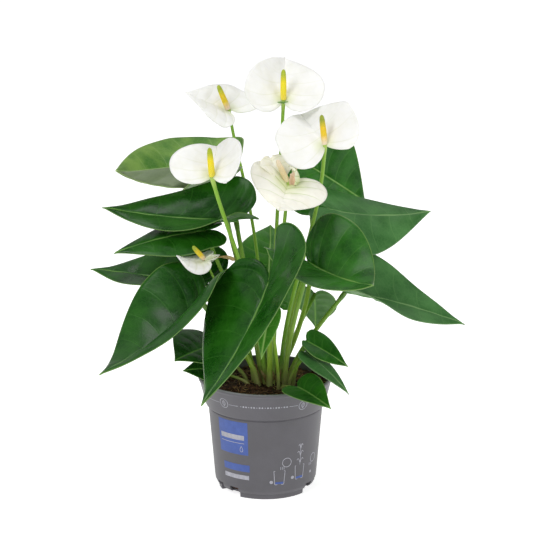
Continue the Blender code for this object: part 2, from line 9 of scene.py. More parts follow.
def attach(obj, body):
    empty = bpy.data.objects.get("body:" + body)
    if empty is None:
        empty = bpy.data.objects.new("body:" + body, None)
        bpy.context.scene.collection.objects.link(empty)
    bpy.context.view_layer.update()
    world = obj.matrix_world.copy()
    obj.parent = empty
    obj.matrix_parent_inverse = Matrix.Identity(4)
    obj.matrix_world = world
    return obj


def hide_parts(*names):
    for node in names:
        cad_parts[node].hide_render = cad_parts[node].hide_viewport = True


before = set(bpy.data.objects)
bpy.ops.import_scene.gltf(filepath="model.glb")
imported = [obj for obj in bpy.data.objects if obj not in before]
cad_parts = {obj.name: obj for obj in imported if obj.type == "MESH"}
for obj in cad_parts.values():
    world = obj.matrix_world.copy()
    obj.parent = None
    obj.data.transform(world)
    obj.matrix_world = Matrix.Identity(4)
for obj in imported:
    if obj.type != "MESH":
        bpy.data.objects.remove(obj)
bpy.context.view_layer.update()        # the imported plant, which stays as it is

mm = 0.001               # the tables are in millimetres and degrees

# where the random draws of each kind of piece start
seeds = dict(leaves=11, spathes=41, innerPetals=61, driedBract=71, collars=76, oldBracts=90, crumbs=5,
             fibres=9, crown=13)
noiseSpan = (0.3, 0.7)   # where most of a noise pattern lies


# Materials

def toLinear(hexColour):
    channels = [int(hexColour[place:place + 2], 16) / 255.0 for place in (1, 3, 5)]
    return [c / 12.92 if c <= 0.04045 else ((c + 0.055) / 1.055) ** 2.4 for c in channels] + [1.0]


# adds one node: number or name keys that are inputs set those, the others are its own settings
def addNode(tree, kind, settings=None, links=None):
    node = tree.nodes.new("ShaderNode" + kind)
    for name, value in (settings or {}).items():
        if name == "stops":
            ramp = node.color_ramp.elements
            while len(ramp) > 1:
                ramp.remove(ramp[-1])
            for order, (place, colour) in enumerate(value):
                stop = ramp[0] if order == 0 else ramp.new(place)
                stop.position = place
                stop.color = toLinear(colour)
        elif isinstance(name, int) or name in node.inputs:
            node.inputs[name].default_value = value
        else:
            setattr(node, name, value)
    for name, source in (links or {}).items():
        if isinstance(source, bpy.types.Node):
            source = next(socket for socket in source.outputs if socket.enabled)
        tree.links.new(source, node.inputs[name])
    return node


# settings: one range of values to another, then a line that is full at one distance and gone at another
def ranged(start, end, low, high):
    return {1: start, 2: end, 3: low, 4: high}


def fading(full, gone, most=1.0):
    return {"interpolation_type": "SMOOTHSTEP", **ranged(gone, full, 0.0, most)}


# settings of a noise pattern with features of so many millimetres
def cloudy(size, detail, rough=0.5):
    return {"Scale": 1.0 / (size * mm), "Detail": detail, "Roughness": rough}


def newMaterial(name, finish):
    material = bpy.data.materials.new(name)
    material.use_nodes = True
    shader = material.node_tree.nodes["Principled BSDF"]
    for socket, value in finish.items():
        shader.inputs[socket].default_value = value
    return material


# the object's coordinates, and the three values that the mesh holds under a name
def startPattern(material, stored=None):
    tree = material.node_tree
    place = addNode(tree, "TexCoord").outputs["Object"]
    if stored is None:
        return tree, place, []
    held = addNode(tree, "Attribute", {"attribute_name": stored}).outputs["Vector"]
    return tree, place, addNode(tree, "SeparateXYZ", links={0: held}).outputs


# lays a colour over what is there, as strongly as a pattern or a distance asks
def paint(tree, under, hexColour, where, strength=None, blend="MIX"):
    share = addNode(tree, "MapRange", strength, {0: where}) if strength else where
    return addNode(tree, "Mix", {"data_type": "RGBA", "blend_type": blend, 7: toLinear(hexColour)},
                   {0: share, 6: under})


# every material ends with its colour, a roughness that follows a pattern between two values, and a
# relief with its strength and its depth in millimetres
def finishMaterial(material, colour, pattern, gloss, height, relief):
    tree = material.node_tree
    rough = addNode(tree, "MapRange", ranged(*noiseSpan, *gloss), {0: pattern})
    bump = addNode(tree, "Bump", {"Strength": relief[0], "Distance": relief[1] * mm}, {"Height": height})
    for socket, source in (("Base Color", colour.outputs[2]), ("Roughness", rough.outputs[0]),
                           ("Normal", bump.outputs[0])):
        tree.links.new(source, tree.nodes["Principled BSDF"].inputs[socket])
    return material


# Anthurium leaf, a waxy cuticle over thick green tissue: deep green with a soft broad gloss,
# sunken paler veins above, and a paler matt underside where the same veins stand out
leafLooks = {
    "deep": dict(top=("#0C4204", "#245F10"), under=("#3B6A2C", "#527F40"), vein="#478230",
                 margin="#84A85A", rough=0.29, veinShow=0.30, ribShow=0.62),
    "mid": dict(top=("#134E07", "#2E7416"), under=("#467437", "#628F4E"), vein="#5A943A",
                margin="#93B566", rough=0.32, veinShow=0.30, ribShow=0.55),
    # a lighter green with painted light: it stands in for light coming through a backlit leaf
    "fresh": dict(top=("#2F7218", "#4F912C"), under=("#5A8C42", "#74A356"), vein="#83B558",
                  margin="#9DC070", rough=0.34, veinShow=0.36, ribShow=0.75),
    "pale": dict(top=("#447A20", "#7CA344"), under=("#7E9068", "#99A784"), vein="#A0BC74",
                 margin="#A9BF85", rough=0.40, veinShow=0.30, ribShow=0.65),
    "matt": dict(top=("#2F6429", "#4A7F41"), under=("#547C48", "#6A905A"), vein="#6C9C58",
                 margin="#8CAA78", rough=0.46, veinShow=0.26, ribShow=0.40),
}

# sizes in millimetres; a line has where it is full and where it is gone. The fine net of veins is
# about 1 mm across, and is drawn at 4 mm so that it shows
leafPattern = dict(patches=26.0, net=4.0, netLine=(0.10, 0.13), grain=2.6, grainShare=0.12,
                   rib=(0.45, 1.35), ribCore=(0.15, 0.75), vein=(0.10, 0.75), veinRise=(1.5, 7.0, 0.15),
                   margin=(0.15, 0.95), marginShow=0.55, underRough=0.16, relief=(0.7, 0.35))


def makeLeafMaterial(name, colours, look, sunken):
    material = newMaterial(name, {"IOR": 1.42, "Specular IOR Level": 0.36})
    tree, place, (fromRib, fromVein, fromEdge) = startPattern(material, "veinMap")
    pattern = leafPattern
    patches = addNode(tree, "TexNoise", cloudy(pattern["patches"], 4.0, 0.55), {"Vector": place})
    body = addNode(tree, "ValToRGB", {"stops": [(0.36, colours[0]), (0.66, colours[1])]}, {0: patches})
    rib = addNode(tree, "MapRange", fading(*pattern["rib"]), {0: fromRib})
    vein = addNode(tree, "MapRange", fading(*pattern["vein"]), {0: fromVein})
    strength = addNode(tree, "MapRange", ranged(*pattern["veinRise"], look["veinShow"]), {0: fromEdge})
    side = addNode(tree, "Math", {"operation": "MULTIPLY"}, {0: vein, 1: strength})
    net = addNode(tree, "TexVoronoi", {"feature": "DISTANCE_TO_EDGE", "Scale": 1.0 / (pattern["net"] * mm)},
                  {"Vector": place})
    netWidth, netShow = pattern["netLine"]
    netLine = addNode(tree, "MapRange", ranged(netWidth, 0.0, 0.0, netShow), {0: net})
    drawn = addNode(tree, "Math", {"operation": "MAXIMUM"}, {0: rib, 1: side})
    lines = addNode(tree, "Math", {"operation": "MAXIMUM"}, {0: drawn, 1: netLine})
    veined = paint(tree, body, look["vein"], lines)
    ribbed = paint(tree, veined, look["margin"], fromRib, fading(*pattern["ribCore"], look["ribShow"]))
    edged = paint(tree, ribbed, look["margin"], fromEdge, fading(*pattern["margin"], pattern["marginShow"]))
    rough = look["rough"] if sunken else look["rough"] + pattern["underRough"]
    grain = addNode(tree, "TexNoise", cloudy(pattern["grain"], 2.0), {"Vector": place})
    grained = addNode(tree, "Math", {"operation": "MULTIPLY", 1: pattern["grainShare"]}, {0: grain})
    relief = addNode(tree, "Math", {"operation": "MULTIPLY_ADD", 1: -1.0 if sunken else 1.0},
                     {0: lines, 2: grained})
    return finishMaterial(material, edged, patches, (rough - 0.06, rough + 0.08), relief, pattern["relief"])


# Spathe, a thick waxy bract: white with a soft glow, greenish where it wraps its stalk,
# and faint veins in the puckers
spatheLooks = {
    "white": dict(colour="#FDFDFA", shade="#F8F8F1", base="#DCE6B8", vein="#E2E5CC", baseReach=15.0,
                  veinShow=0.5),
    "cream": dict(colour="#FFFDF0", shade="#FDFAEA", base="#C6D488", vein="#B3C474", baseReach=24.0,
                  veinShow=0.85),
    "ivory": dict(colour="#FDFBEA", shade="#F8F5DC", base="#FBF8E6", vein="#D9DDB4", baseReach=8.0,
                  veinShow=0.4),
    "blush": dict(colour="#F6E0CE", shade="#EFD2BC", base="#E8C7A0", vein="#E2BFA0", baseReach=10.0,
                  veinShow=0.5),
}

# the pebbled skin between the veins is about 2.4 mm from dimple to dimple
spathePattern = dict(patches=11.0, vein=(0.10, 0.9), veinRise=(34.0, 4.0, 0.12), baseShow=0.75,
                     gloss=(0.34, 0.46), pebbles=2.4, relief=(0.35, 0.30))


def makeSpatheMaterial(name, look):
    material = newMaterial(name, {"IOR": 1.42, "Subsurface Weight": 0.12, "Subsurface Scale": 2.0 * mm,
                                  "Subsurface Radius": (1.0, 0.95, 0.8)})
    tree, place, (_, fromVein, _) = startPattern(material, "veinMap")
    pattern = spathePattern
    fromStalk = addNode(tree, "Attribute", {"attribute_name": "stalkDistance"}).outputs["Fac"]
    patches = addNode(tree, "TexNoise", cloudy(pattern["patches"], 3.0), {"Vector": place})
    stops = [(0.35, look["shade"]), (0.60, look["colour"])]
    body = addNode(tree, "ValToRGB", {"stops": stops}, {0: patches})
    reach = fading(1.0, look["baseReach"], pattern["baseShow"])
    greened = paint(tree, body, look["base"], fromStalk, reach)
    vein = addNode(tree, "MapRange", fading(*pattern["vein"]), {0: fromVein})
    strength = addNode(tree, "MapRange", ranged(*pattern["veinRise"], look["veinShow"]), {0: fromStalk})
    line = addNode(tree, "Math", {"operation": "MULTIPLY"}, {0: vein, 1: strength})
    veined = paint(tree, greened, look["vein"], line)
    pebbleScale = 1.0 / (pattern["pebbles"] * mm)
    pebbles = addNode(tree, "TexVoronoi", {"feature": "SMOOTH_F1", "Scale": pebbleScale}, {"Vector": place})
    return finishMaterial(material, veined, patches, pattern["gloss"], pebbles, pattern["relief"])


# Leaf and flower stalks, smooth green stems: pale and a little brown in the peat, streaked along
# their length, with a darker knuckle under the blade
stalkLooks = {
    "leafStalk": dict(foot="#B8B878", low="#92B43A", high="#5F9020", knuckle="#4A741A", streak="#A8C454"),
    "flowerStalk": dict(foot="#C2C878", low="#6A9A1C", high="#88B838", knuckle="#A9C85C", streak="#9CC450"),
}

# in millimetres; the streaks are noise squeezed along the height
stalkPattern = dict(foot=(4.0, 26.0), knuckle=(5.0, 14.0), streaks=0.9, squeeze=0.06, streakShow=0.55,
                    gloss=(0.36, 0.50), relief=(0.4, 0.20))


def makeStalkMaterial(name, look):
    material = newMaterial(name, {"IOR": 1.45})
    tree, place, (share, fromFoot, fromTop) = startPattern(material, "stalkMap")
    pattern = stalkPattern
    colour = addNode(tree, "ValToRGB", {"stops": [(0.05, look["low"]), (0.95, look["high"])]}, {0: share})
    for part, distance in (("foot", fromFoot), ("knuckle", fromTop)):
        colour = paint(tree, colour, look[part], distance, fading(*pattern[part]))
    stretched = addNode(tree, "Mapping", {"Scale": (1.0, 1.0, pattern["squeeze"])}, {"Vector": place})
    streaks = addNode(tree, "TexNoise", cloudy(pattern["streaks"], 3.0), {"Vector": stretched})
    streaked = paint(tree, colour, look["streak"], streaks, ranged(0.50, 0.80, 0.0, pattern["streakShow"]))
    return finishMaterial(material, streaked, streaks, pattern["gloss"], streaks, pattern["relief"])


# Spadix, a fleshy spike of tiny packed flowers: each a small pale mound in a darker net
spikeLooks = {
    "yellow": dict(foot="#F4E24A", middle="#F3E01C", tip="#AFC02C"),
    "blushed": dict(foot="#F6DCC4", middle="#F1D524", tip="#A9BA30"),
    "ripe": dict(foot="#F2E0C4", middle="#EFCB20", tip="#98A62E"),
    "faded": dict(foot="#E8D9AE", middle="#E4D2A4", tip="#EBDCC0"),
}

spikePattern = dict(net="#B7A860", netShow=0.7, fleck="#F4EDB4", fleckShow=0.35, flecks=0.8,
                    gloss=(0.5, 0.7), relief=(0.3, 0.10))


def makeSpikeMaterial(name, look):
    material = newMaterial(name, {"IOR": 1.42, "Subsurface Weight": 0.1, "Subsurface Scale": 1.0 * mm})
    tree, place, (share, mound, _) = startPattern(material, "stalkMap")
    pattern = spikePattern
    stops = [(0.06, look["foot"]), (0.34, look["middle"]), (0.58, look["middle"]), (0.84, look["tip"])]
    body = addNode(tree, "ValToRGB", {"stops": stops}, {0: share})
    pits = paint(tree, body, pattern["net"], mound, ranged(0.35, 0.0, 0.0, pattern["netShow"]), "MULTIPLY")
    flecks = addNode(tree, "TexNoise", cloudy(pattern["flecks"], 2.0), {"Vector": place})
    flecked = paint(tree, pits, pattern["fleck"], flecks, ranged(0.55, 0.75, 0.0, pattern["fleckShow"]))
    return finishMaterial(material, flecked, flecks, pattern["gloss"], flecks, pattern["relief"])


# Peat, bark, pot and inks: two or three colours in a broad noise, flecked by a fine one, in
# millimetres; a painted highlight on the pot rim's top edge has two heights and a colour
mottledLooks = {
    # injection-moulded polypropylene with regrind in it: satin mid grey, barely clouded, fine spark grain
    "mouldedGreyPolypropylene": dict(
        colours=("#555358", "#5B595F"), broad=22.0, fine=0.9, rough=(0.40, 0.50), relief=(0.25, 0.06),
        # a painted highlight: the rim's top edge is painted a lighter grey between two heights
        flecks=(0.97, 1.02), ior=1.49, paintedRimHighlight=(101.9, 102.8, "#A3A1A8")),
    # pad-printed inks, a thin matt film that takes the grain of the plastic
    "printedBlueInk": dict(
        colours=("#3C549A", "#465FA8"), broad=6.0, fine=0.9, rough=(0.45, 0.55), relief=(0.2, 0.05),
        flecks=(0.95, 1.04)),
    "printedPaleInk": dict(
        colours=("#9C9BA6", "#B2B1BB"), broad=4.0, fine=0.9, rough=(0.45, 0.55), relief=(0.2, 0.05),
        flecks=(0.92, 1.05)),
    # potting peat, loose brown fibres and crumbs: dull, near black where damp
    "dampPeat": dict(
        colours=("#22120A", "#472A18", "#694630"), broad=4.5, fine=1.1, rough=(0.85, 1.0),
        relief=(1.0, 0.9), flecks=(0.55, 1.35)),
    "peatCrumb": dict(
        colours=("#2A170D", "#50301C", "#775138"), broad=3.0, fine=0.8, rough=(0.85, 1.0),
        relief=(0.9, 0.5), flecks=(0.6, 1.3)),
    "coirFibre": dict(
        colours=("#7A5430", "#AB8256", "#D0B184"), broad=5.0, fine=0.7, rough=(0.75, 0.9),
        relief=(0.5, 0.2), flecks=(0.8, 1.15)),
    # the corky stem base and the dry bracts round it: papery, brown, ribbed along their length
    "corkyStem": dict(
        colours=("#4C3A22", "#75623A", "#9A9560"), broad=4.0, fine=1.0, rough=(0.7, 0.85),
        relief=(0.8, 0.5), flecks=(0.7, 1.2)),
    "paperyBract": dict(
        colours=("#8C7242", "#B39B62", "#C9B884"), broad=3.5, fine=0.7, rough=(0.6, 0.8),
        relief=(0.6, 0.25), flecks=(0.8, 1.15), squeeze=0.2),
}


def makeMottledMaterial(name, look):
    material = newMaterial(name, {"IOR": look.get("ior", 1.5)})
    tree, place, _ = startPattern(material)
    squeezed = addNode(tree, "Mapping", {"Scale": (1.0, 1.0, look.get("squeeze", 1.0))}, {"Vector": place})
    broad = addNode(tree, "TexNoise", cloudy(look["broad"], 5.0, 0.6), {"Vector": squeezed})
    fine = addNode(tree, "TexNoise", cloudy(look["fine"], 3.0), {"Vector": squeezed})
    last = len(look["colours"]) - 1
    stops = [(0.34 + 0.32 * order / last, colour) for order, colour in enumerate(look["colours"])]
    body = addNode(tree, "ValToRGB", {"stops": stops}, {0: broad})
    shade = addNode(tree, "MapRange", ranged(*noiseSpan, *look["flecks"]), {0: fine})
    colour = addNode(tree, "Mix", {"data_type": "RGBA", "blend_type": "MULTIPLY", 0: 1.0},
                     {6: body, 7: shade})
    # a painted highlight: a lighter colour over a band of heights at the rim's top edge
    if "paintedRimHighlight" in look:
        height = addNode(tree, "SeparateXYZ", links={0: place}).outputs[2]
        start, end, paintedRimHighlight = look["paintedRimHighlight"]
        colour = paint(tree, colour, paintedRimHighlight, height, ranged(start * mm, end * mm, 0.0, 0.75))
    return finishMaterial(material, colour, broad, look["rough"], fine, look["relief"])


materials = {name: makeMottledMaterial(name, look) for name, look in mottledLooks.items()}
for name, look in leafLooks.items():
    materials[name + "Upper"] = makeLeafMaterial(name + "WaxyLeaf", look["top"], look, True)
    materials[name + "Under"] = makeLeafMaterial(name + "LeafUnderside", look["under"], look, False)
for looks, make, short, full in ((spatheLooks, makeSpatheMaterial, "Spathe", "WaxySpathe"),
                                 (stalkLooks, makeStalkMaterial, "", "Stem"),
                                 (spikeLooks, makeSpikeMaterial, "Spike", "PackedSpadix")):
    for name, look in looks.items():
        materials[name + short] = make(name + full, look)
print("materials:", len(materials))


def addPiece(name, shape, slot, replaced, *finishes, smooth=True):
    mesh = shape if isinstance(shape, bpy.types.Mesh) else meshFrom(shape, name, smooth)
    piece = bpy.data.objects.new(name, mesh)
    bpy.context.scene.collection.objects.link(piece)
    for finish in finishes:
        mesh.materials.append(materials[finish])
    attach(piece, "root")
    if replaced:
        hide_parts(*replaced)
    return piece


def meshFrom(shape, name, smooth=True):
    mesh = bpy.data.meshes.new(name)
    shape.to_mesh(mesh)
    shape.free()
    if smooth:
        mesh.shade_smooth()
    return mesh


# a point in metres from a radius and a height in millimetres
def polar(radius, turn, height):
    return radius * mm * math.cos(turn), radius * mm * math.sin(turn), height * mm


# faces between rings of points; a ring of one point is a centre
def bridgeRings(shape, rings, inward=False):
    for first, second in zip(rings, rings[1:]):
        sides = max(len(first), len(second))
        for side in range(sides):
            following = (side + 1) % sides
            ring = [first[side % len(first)], first[following % len(first)],
                    second[following % len(second)], second[side % len(second)]]
            if inward:
                ring[1:] = reversed(ring[1:])
            shape.faces.new(list(dict.fromkeys(ring)))


# a closed strip through columns of four points, each a radius, an angle in degrees and a height
def addStrip(shape, columns):
    rings = [[shape.verts.new(polar(radius, math.radians(angle), height))
              for radius, angle, height in column] for column in columns]
    bridgeRings(shape, rings)
    shape.faces.new(rings[0])
    shape.faces.new(list(reversed(rings[-1])))


# Heart-shaped sheets: leaf blades and spathes

# at is where the stalk meets the sheet, and facing its turn, pitch and roll; lobe is how far the rear
# lobes reach, rear how wide they end and wide where the sheet is widest; bend is the midrib's droop
# ahead and its lift behind; folds raise the left and the right half at base and tip, and curl bends
# them; otherHalf is what differs on the left
sheetShape = dict(
    lobeRear=0.44, lobeOutline=((0.0, 1.0), (0.36, 1.05), (0.56, 0.45)), outlineSteps=90,
    tipOutline=((1.0, 0.42), (0.30, 0.74)), widestShare=0.4, veinSpacing=1.5, veinReach=0.36,
    veinTurn=(28.0, 18.0), columnSpread=1.3, veinWidth=1.2, ribWidth=1.6, ribLeft=0.12, veinRidge=0.35,
    waveTurns=(1.6, 3.3), rimShare=0.2, calmEdge=4.0, fullBulge=40.0, fullWave=45.0)


def bezier(start, pullStart, pullEnd, end, share):
    rest = 1.0 - share
    return (start * rest ** 3 + pullStart * 3.0 * rest * rest * share
            + pullEnd * 3.0 * rest * share * share + end * share ** 3)


# a point on the flat half outline, from the back of the lobe to the tip
def marginPoint(leaf, share):
    half = leaf["width"] / 2.0
    length = leaf["length"]
    rear = leaf.get("rear", sheetShape["lobeRear"])
    back, backPull, sidePull = [Vector((min(rear + across, 1.0) * half, -behind * leaf["lobe"]))
                                for across, behind in sheetShape["lobeOutline"]]
    shoulderPull, tipPull = [Vector((across * half, ahead * length))
                             for across, ahead in sheetShape["tipOutline"]]
    widest = Vector((half, leaf["wide"] * length))
    split = sheetShape["widestShare"]
    if share < split:
        return bezier(back, backPull, sidePull, widest, share / split)
    return bezier(widest, shoulderPull, tipPull, Vector((0.0, length)), (share - split) / (1.0 - split))


# a flat point on the side vein that leaves the midrib at one share of its length
def veinPoint(leaf, share, across):
    foot = Vector((0.0, leaf["length"] * share ** sheetShape["veinSpacing"]))
    end = marginPoint(leaf, share)
    run = (end - foot) * sheetShape["veinReach"]
    first, last = sheetShape["veinTurn"]
    turn = math.radians(first + (last - first) * share)
    pullStart = foot + Matrix.Rotation(-turn, 2) @ run
    pullStart.x = max(pullStart.x, 0.0)
    flat = bezier(foot, pullStart, end - Matrix.Rotation(turn, 2) @ run, end, across)
    if flat.y < 0.0:
        flat.x = max(flat.x, min(-flat.y, leaf.get("sinus", 1.0)))
    return flat


# run, rise and final angle of an arc of the given length
def arc(distance, startAngle, curvature):
    if abs(curvature) < 1e-6:
        return distance * math.cos(startAngle), distance * math.sin(startAngle), startAngle
    endAngle = startAngle + curvature * distance
    return ((math.sin(endAngle) - math.sin(startAngle)) / curvature,
            (math.cos(startAngle) - math.cos(endAngle)) / curvature, endAngle)


# unit vectors to the right of, along and out of the sheet at its stalk
def sheetAxes(leaf):
    turn, pitch, roll = [math.radians(angle) for angle in leaf["facing"]]
    heading = Vector((math.cos(turn), math.sin(turn), 0.0))
    level = heading.cross(Vector((0.0, 0.0, 1.0)))
    along = heading * math.cos(pitch) + Vector((0.0, 0.0, math.sin(pitch)))
    up = level.cross(along)
    return (level * math.cos(roll) + up * math.sin(roll), along,
            up * math.cos(roll) - level * math.sin(roll))


# the point of the bent sheet, in millimetres, for a flat point of one half
def placeOnSheet(leaf, axes, side, flat):
    length = leaf["length"]
    half = 0 if side < 0 else 1
    droop, lift = [math.radians(angle) for angle in leaf["bend"]]
    forward, rise, slope = arc(flat.y, 0.0, lift / leaf["lobe"] if flat.y < 0.0 else -droop / length)
    baseFold, tipFold = leaf["folds"][half]
    share = min(max(flat.y / length, 0.0), 1.0)
    fold = math.radians(baseFold + (tipFold - baseFold) * share)
    curl = math.radians(leaf["curl"][half]) / (leaf["width"] / 2.0)
    sideways, lifted, _ = arc(flat.x, fold, curl)
    right, along, out = axes
    return (Vector(leaf["at"]) + right * side * sideways + along * (forward - math.sin(slope) * lifted)
            + out * (rise + math.cos(slope) * lifted))


def segmentDistance(point, start, end):
    run = end - start
    share = min(max((point - start).dot(run) / max(run.length_squared, 1e-9), 0.0), 1.0)
    return (point - start - run * share).length


# spec: veins to a half, rows between two veins, columns in a half, thickness, the bulge between
# veins and how much more of it near the lobes, the margin's waves and its rim that turns down, the
# groove above the midrib and the ridge under it, and fine puckers
def makeSheet(name, leaf, spec, finishes, slot, replaced, seed):
    random.seed(seed)
    step, columns = spec["rowsPerVein"], spec["columns"]
    rows = spec["veins"] * step
    axes = sheetAxes(leaf)
    size = leaf["width"] / 2.0
    spread = [(column / columns) ** sheetShape["columnSpread"] for column in range(columns + 1)]
    outlineSteps = sheetShape["outlineSteps"]
    flatsOf, outlineOf = {}, {}
    for side, half in ((1, leaf), (-1, dict(leaf, **leaf.get("otherHalf", {})))):
        flatsOf[side] = [[veinPoint(half, row / rows, across) for across in spread] for row in range(rows)]
        outlineOf[side] = [marginPoint(half, place / outlineSteps) for place in range(outlineSteps + 1)]
    shape = bmesh.new()
    veinMap = shape.verts.layers.float_vector.new("veinMap")
    stalkDistance = shape.verts.layers.float.new("stalkDistance")
    deform = shape.verts.layers.deform.verify()
    offsets = {}

    def addPoint(side, row, column, flat):
        across, along = spread[column], row / rows
        vert = shape.verts.new(placeOnSheet(leaf, axes, side, flat) * mm)
        # the distances that the materials draw veins, midrib and margin from
        fromRib = flat.x if flat.y > 0.0 else flat.length
        near = min(int(row / step + 0.5) * step, rows)
        fromVein = fromEdge = 0.0
        if near < rows and near != row and 0 < column:
            vein = flatsOf[side][near]
            fromVein = segmentDistance(flat, vein[max(column - 1, 0)], vein[min(column + 1, columns)])
        elif near == rows:
            fromVein = flat.x
        if column < columns and row < rows:
            outline = outlineOf[side]
            fromEdge = min(segmentDistance(flat, start, end) for start, end in zip(outline, outline[1:]))
        vert[veinMap] = (fromRib, fromVein, fromEdge)
        vert[stalkDistance] = flat.length
        # thicker along the midrib and a little along the veins
        veinHere = math.exp(-(fromVein / sheetShape["veinWidth"]) ** 2) * (1.0 - across)
        toTip = max(1.0 - max(flat.y, 0.0) / leaf["length"], sheetShape["ribLeft"])
        ribHere = math.exp(-(fromRib / sheetShape["ribWidth"]) ** 2) * toTip
        thicker = max(ribHere, sheetShape["veinRidge"] * veinHere)
        vert[deform][0] = min(spec["sheet"] + (1.0 - spec["sheet"]) * thicker, 1.0)
        # then the bulges, groove, waves, puckers and rim that move the point along its normal
        between = abs(math.sin(math.pi * row / step)) * math.sin(math.pi * min(across * 1.02, 1.0) ** 0.8)
        nearLobe = 1.0 + spec.get("lobeBulge", 0.0) * math.exp(-(along / 0.3) ** 2)
        bulge = spec["bulge"] * nearLobe * between * min(size / sheetShape["fullBulge"], 1.0)
        wave = sum(height * math.sin(math.tau * (count * along + phase))
                   for height, count, phase in waves[side]) * across ** 2 * math.sin(math.pi * along) ** 0.5
        spot = Vector((flat.x, flat.y, side * 40.0 + seed))
        pucker = noise.noise(spot / spec["puckerSize"]) * spec["pucker"]
        rimShare = sheetShape["rimShare"]
        rim = spec.get("rim", 0.0) * max(across - (1.0 - rimShare), 0.0) / rimShare
        offsets[vert] = (bulge - spec["groove"] * ribHere + wave * min(size / sheetShape["fullWave"], 1.0)
                         + pucker * min(fromEdge / sheetShape["calmEdge"] + 0.3, 1.0) - rim)
        return vert

    waves = {side: [(spec["wave"] * random.uniform(0.5, 1.0) / turns, turns * random.uniform(0.8, 1.2),
                     random.random()) for turns in sheetShape["waveTurns"]] for side in (-1, 1)}
    midrib = [addPoint(1, row, 0, flatsOf[1][row][0]) for row in range(rows)]
    tip = addPoint(1, rows, 0, Vector((0.0, leaf["length"])))
    for side in (-1, 1):
        lines = [[midrib[row]] + [addPoint(side, row, column, flatsOf[side][row][column])
                                  for column in range(1, columns + 1)] for row in range(rows)]
        lines.append([tip] * (columns + 1))
        for first, second in zip(lines, lines[1:]):
            for column in range(columns):
                ring = [first[column], first[column + 1], second[column + 1], second[column]]
                corners = list(dict.fromkeys(ring))
                shape.faces.new(corners if side > 0 else list(reversed(corners)))
    shape.normal_update()
    for vert, offset in offsets.items():
        vert.co += vert.normal * offset * mm
    piece = addPiece(name, shape, slot, replaced, *finishes)
    piece.vertex_groups.new(name="ridge")
    solid = piece.modifiers.new("thickness", "SOLIDIFY")
    solid.thickness = spec["ridge"] * mm
    solid.offset = -1.0
    solid.vertex_group = "ridge"
    solid.material_offset = 1


# Stalks: a line of points in millimetres swept with a round section

# a smooth line through the points, with so many steps between two of them
def smoothLine(points, steps):
    ends = [points[0] * 2.0 - points[1], *points, points[-1] * 2.0 - points[-2]]
    line = []
    for before, start, end, after in zip(ends, ends[1:], ends[2:], ends[3:]):
        pull = (end - before) / 6.0, (after - start) / 6.0
        line += [bezier(start, start + pull[0], end - pull[1], end, step / steps) for step in range(steps)]
    return line + [points[-1]]


# a closed tube along the line; shapeAt gives radius and the stored vector for a place on it
def sweepTube(shape, line, sides, shapeAt, layer=None):
    total = sum((after - before).length for before, after in zip(line, line[1:]))
    direction = (line[1] - line[0]).normalized()
    across = direction.orthogonal().normalized()
    rings = []
    run = 0.0
    for order, point in enumerate(line):
        if order:
            run += (point - line[order - 1]).length
        ahead = line[min(order + 1, len(line) - 1)] - line[max(order - 1, 0)]
        direction = ahead.normalized()
        across = (across - direction * across.dot(direction)).normalized()
        aside = direction.cross(across)
        ring = []
        for side in range(sides):
            angle = math.tau * side / sides
            radius, kept = shapeAt(run / total, run, total - run, angle)
            outward = across * math.cos(angle) + aside * math.sin(angle)
            vert = shape.verts.new((point + outward * radius) * mm)
            if layer is not None:
                vert[layer] = kept
            ring.append(vert)
        rings.append(ring)
    bridgeRings(shape, rings)
    shape.faces.new(list(reversed(rings[0])))
    shape.faces.new(rings[-1])


soil = dict(edge=94.0, centre=97.0, radius=54.0)
crown = dict(centre=(5.0, 0.0), radius=5.0, rings=30, pitch=0.6, sides=40, knobs=0.22, bracts=9,
             taper=((0.0, 1.0), (0.3, 0.86), (0.6, 0.62), (0.9, 0.36), (1.0, 0.10)))


def soilTop(radius):
    return soil["edge"] + (soil["centre"] - soil["edge"]) * (1.0 - (radius / soil["radius"]) ** 2)


# a point on the peat, at an angle in degrees and a distance from the crown's middle
def byCrown(angle, radius, above):
    turn = math.radians(angle)
    x = crown["centre"][0] + radius * math.cos(turn)
    y = crown["centre"][1] + radius * math.sin(turn)
    return Vector((x, y, soilTop(math.hypot(x, y)) + above))


stalk = dict(points=9, steps=5, sides=14, flare=0.25, lean=0.12, arrive=0.74, steep=0.42, lift=1.4,
             buried=5.0, slim=0.88, knuckle=0.26, flowerKnuckle=0.22, knuckleMiddle=4.95, knuckleReach=6.82,
             sheathLength=12.0, sheath=0.12, groove=0.10, ribs=5, ribDepth=0.03)


def stalkLine(piece, end):
    foot = byCrown(*piece["base"], stalk["lift"])
    reach = end - foot
    level = Vector((reach.x, reach.y, 0.0))
    steep = Vector((0.0, 0.0, reach.z * piece.get("steep", stalk["steep"])))
    pullStart = foot + steep + level * stalk["lean"]
    pullEnd = end + Vector(piece["arrive"]) if "arrive" in piece else foot + reach * stalk["arrive"]
    bow = Vector((*piece.get("bow", (0, 0)), 0.0))
    points = []
    for step in range(stalk["points"]):
        share = step / (stalk["points"] - 1)
        points.append(bezier(foot, pullStart, pullEnd, end, share) + bow * 4.0 * share * (1.0 - share))
    return points


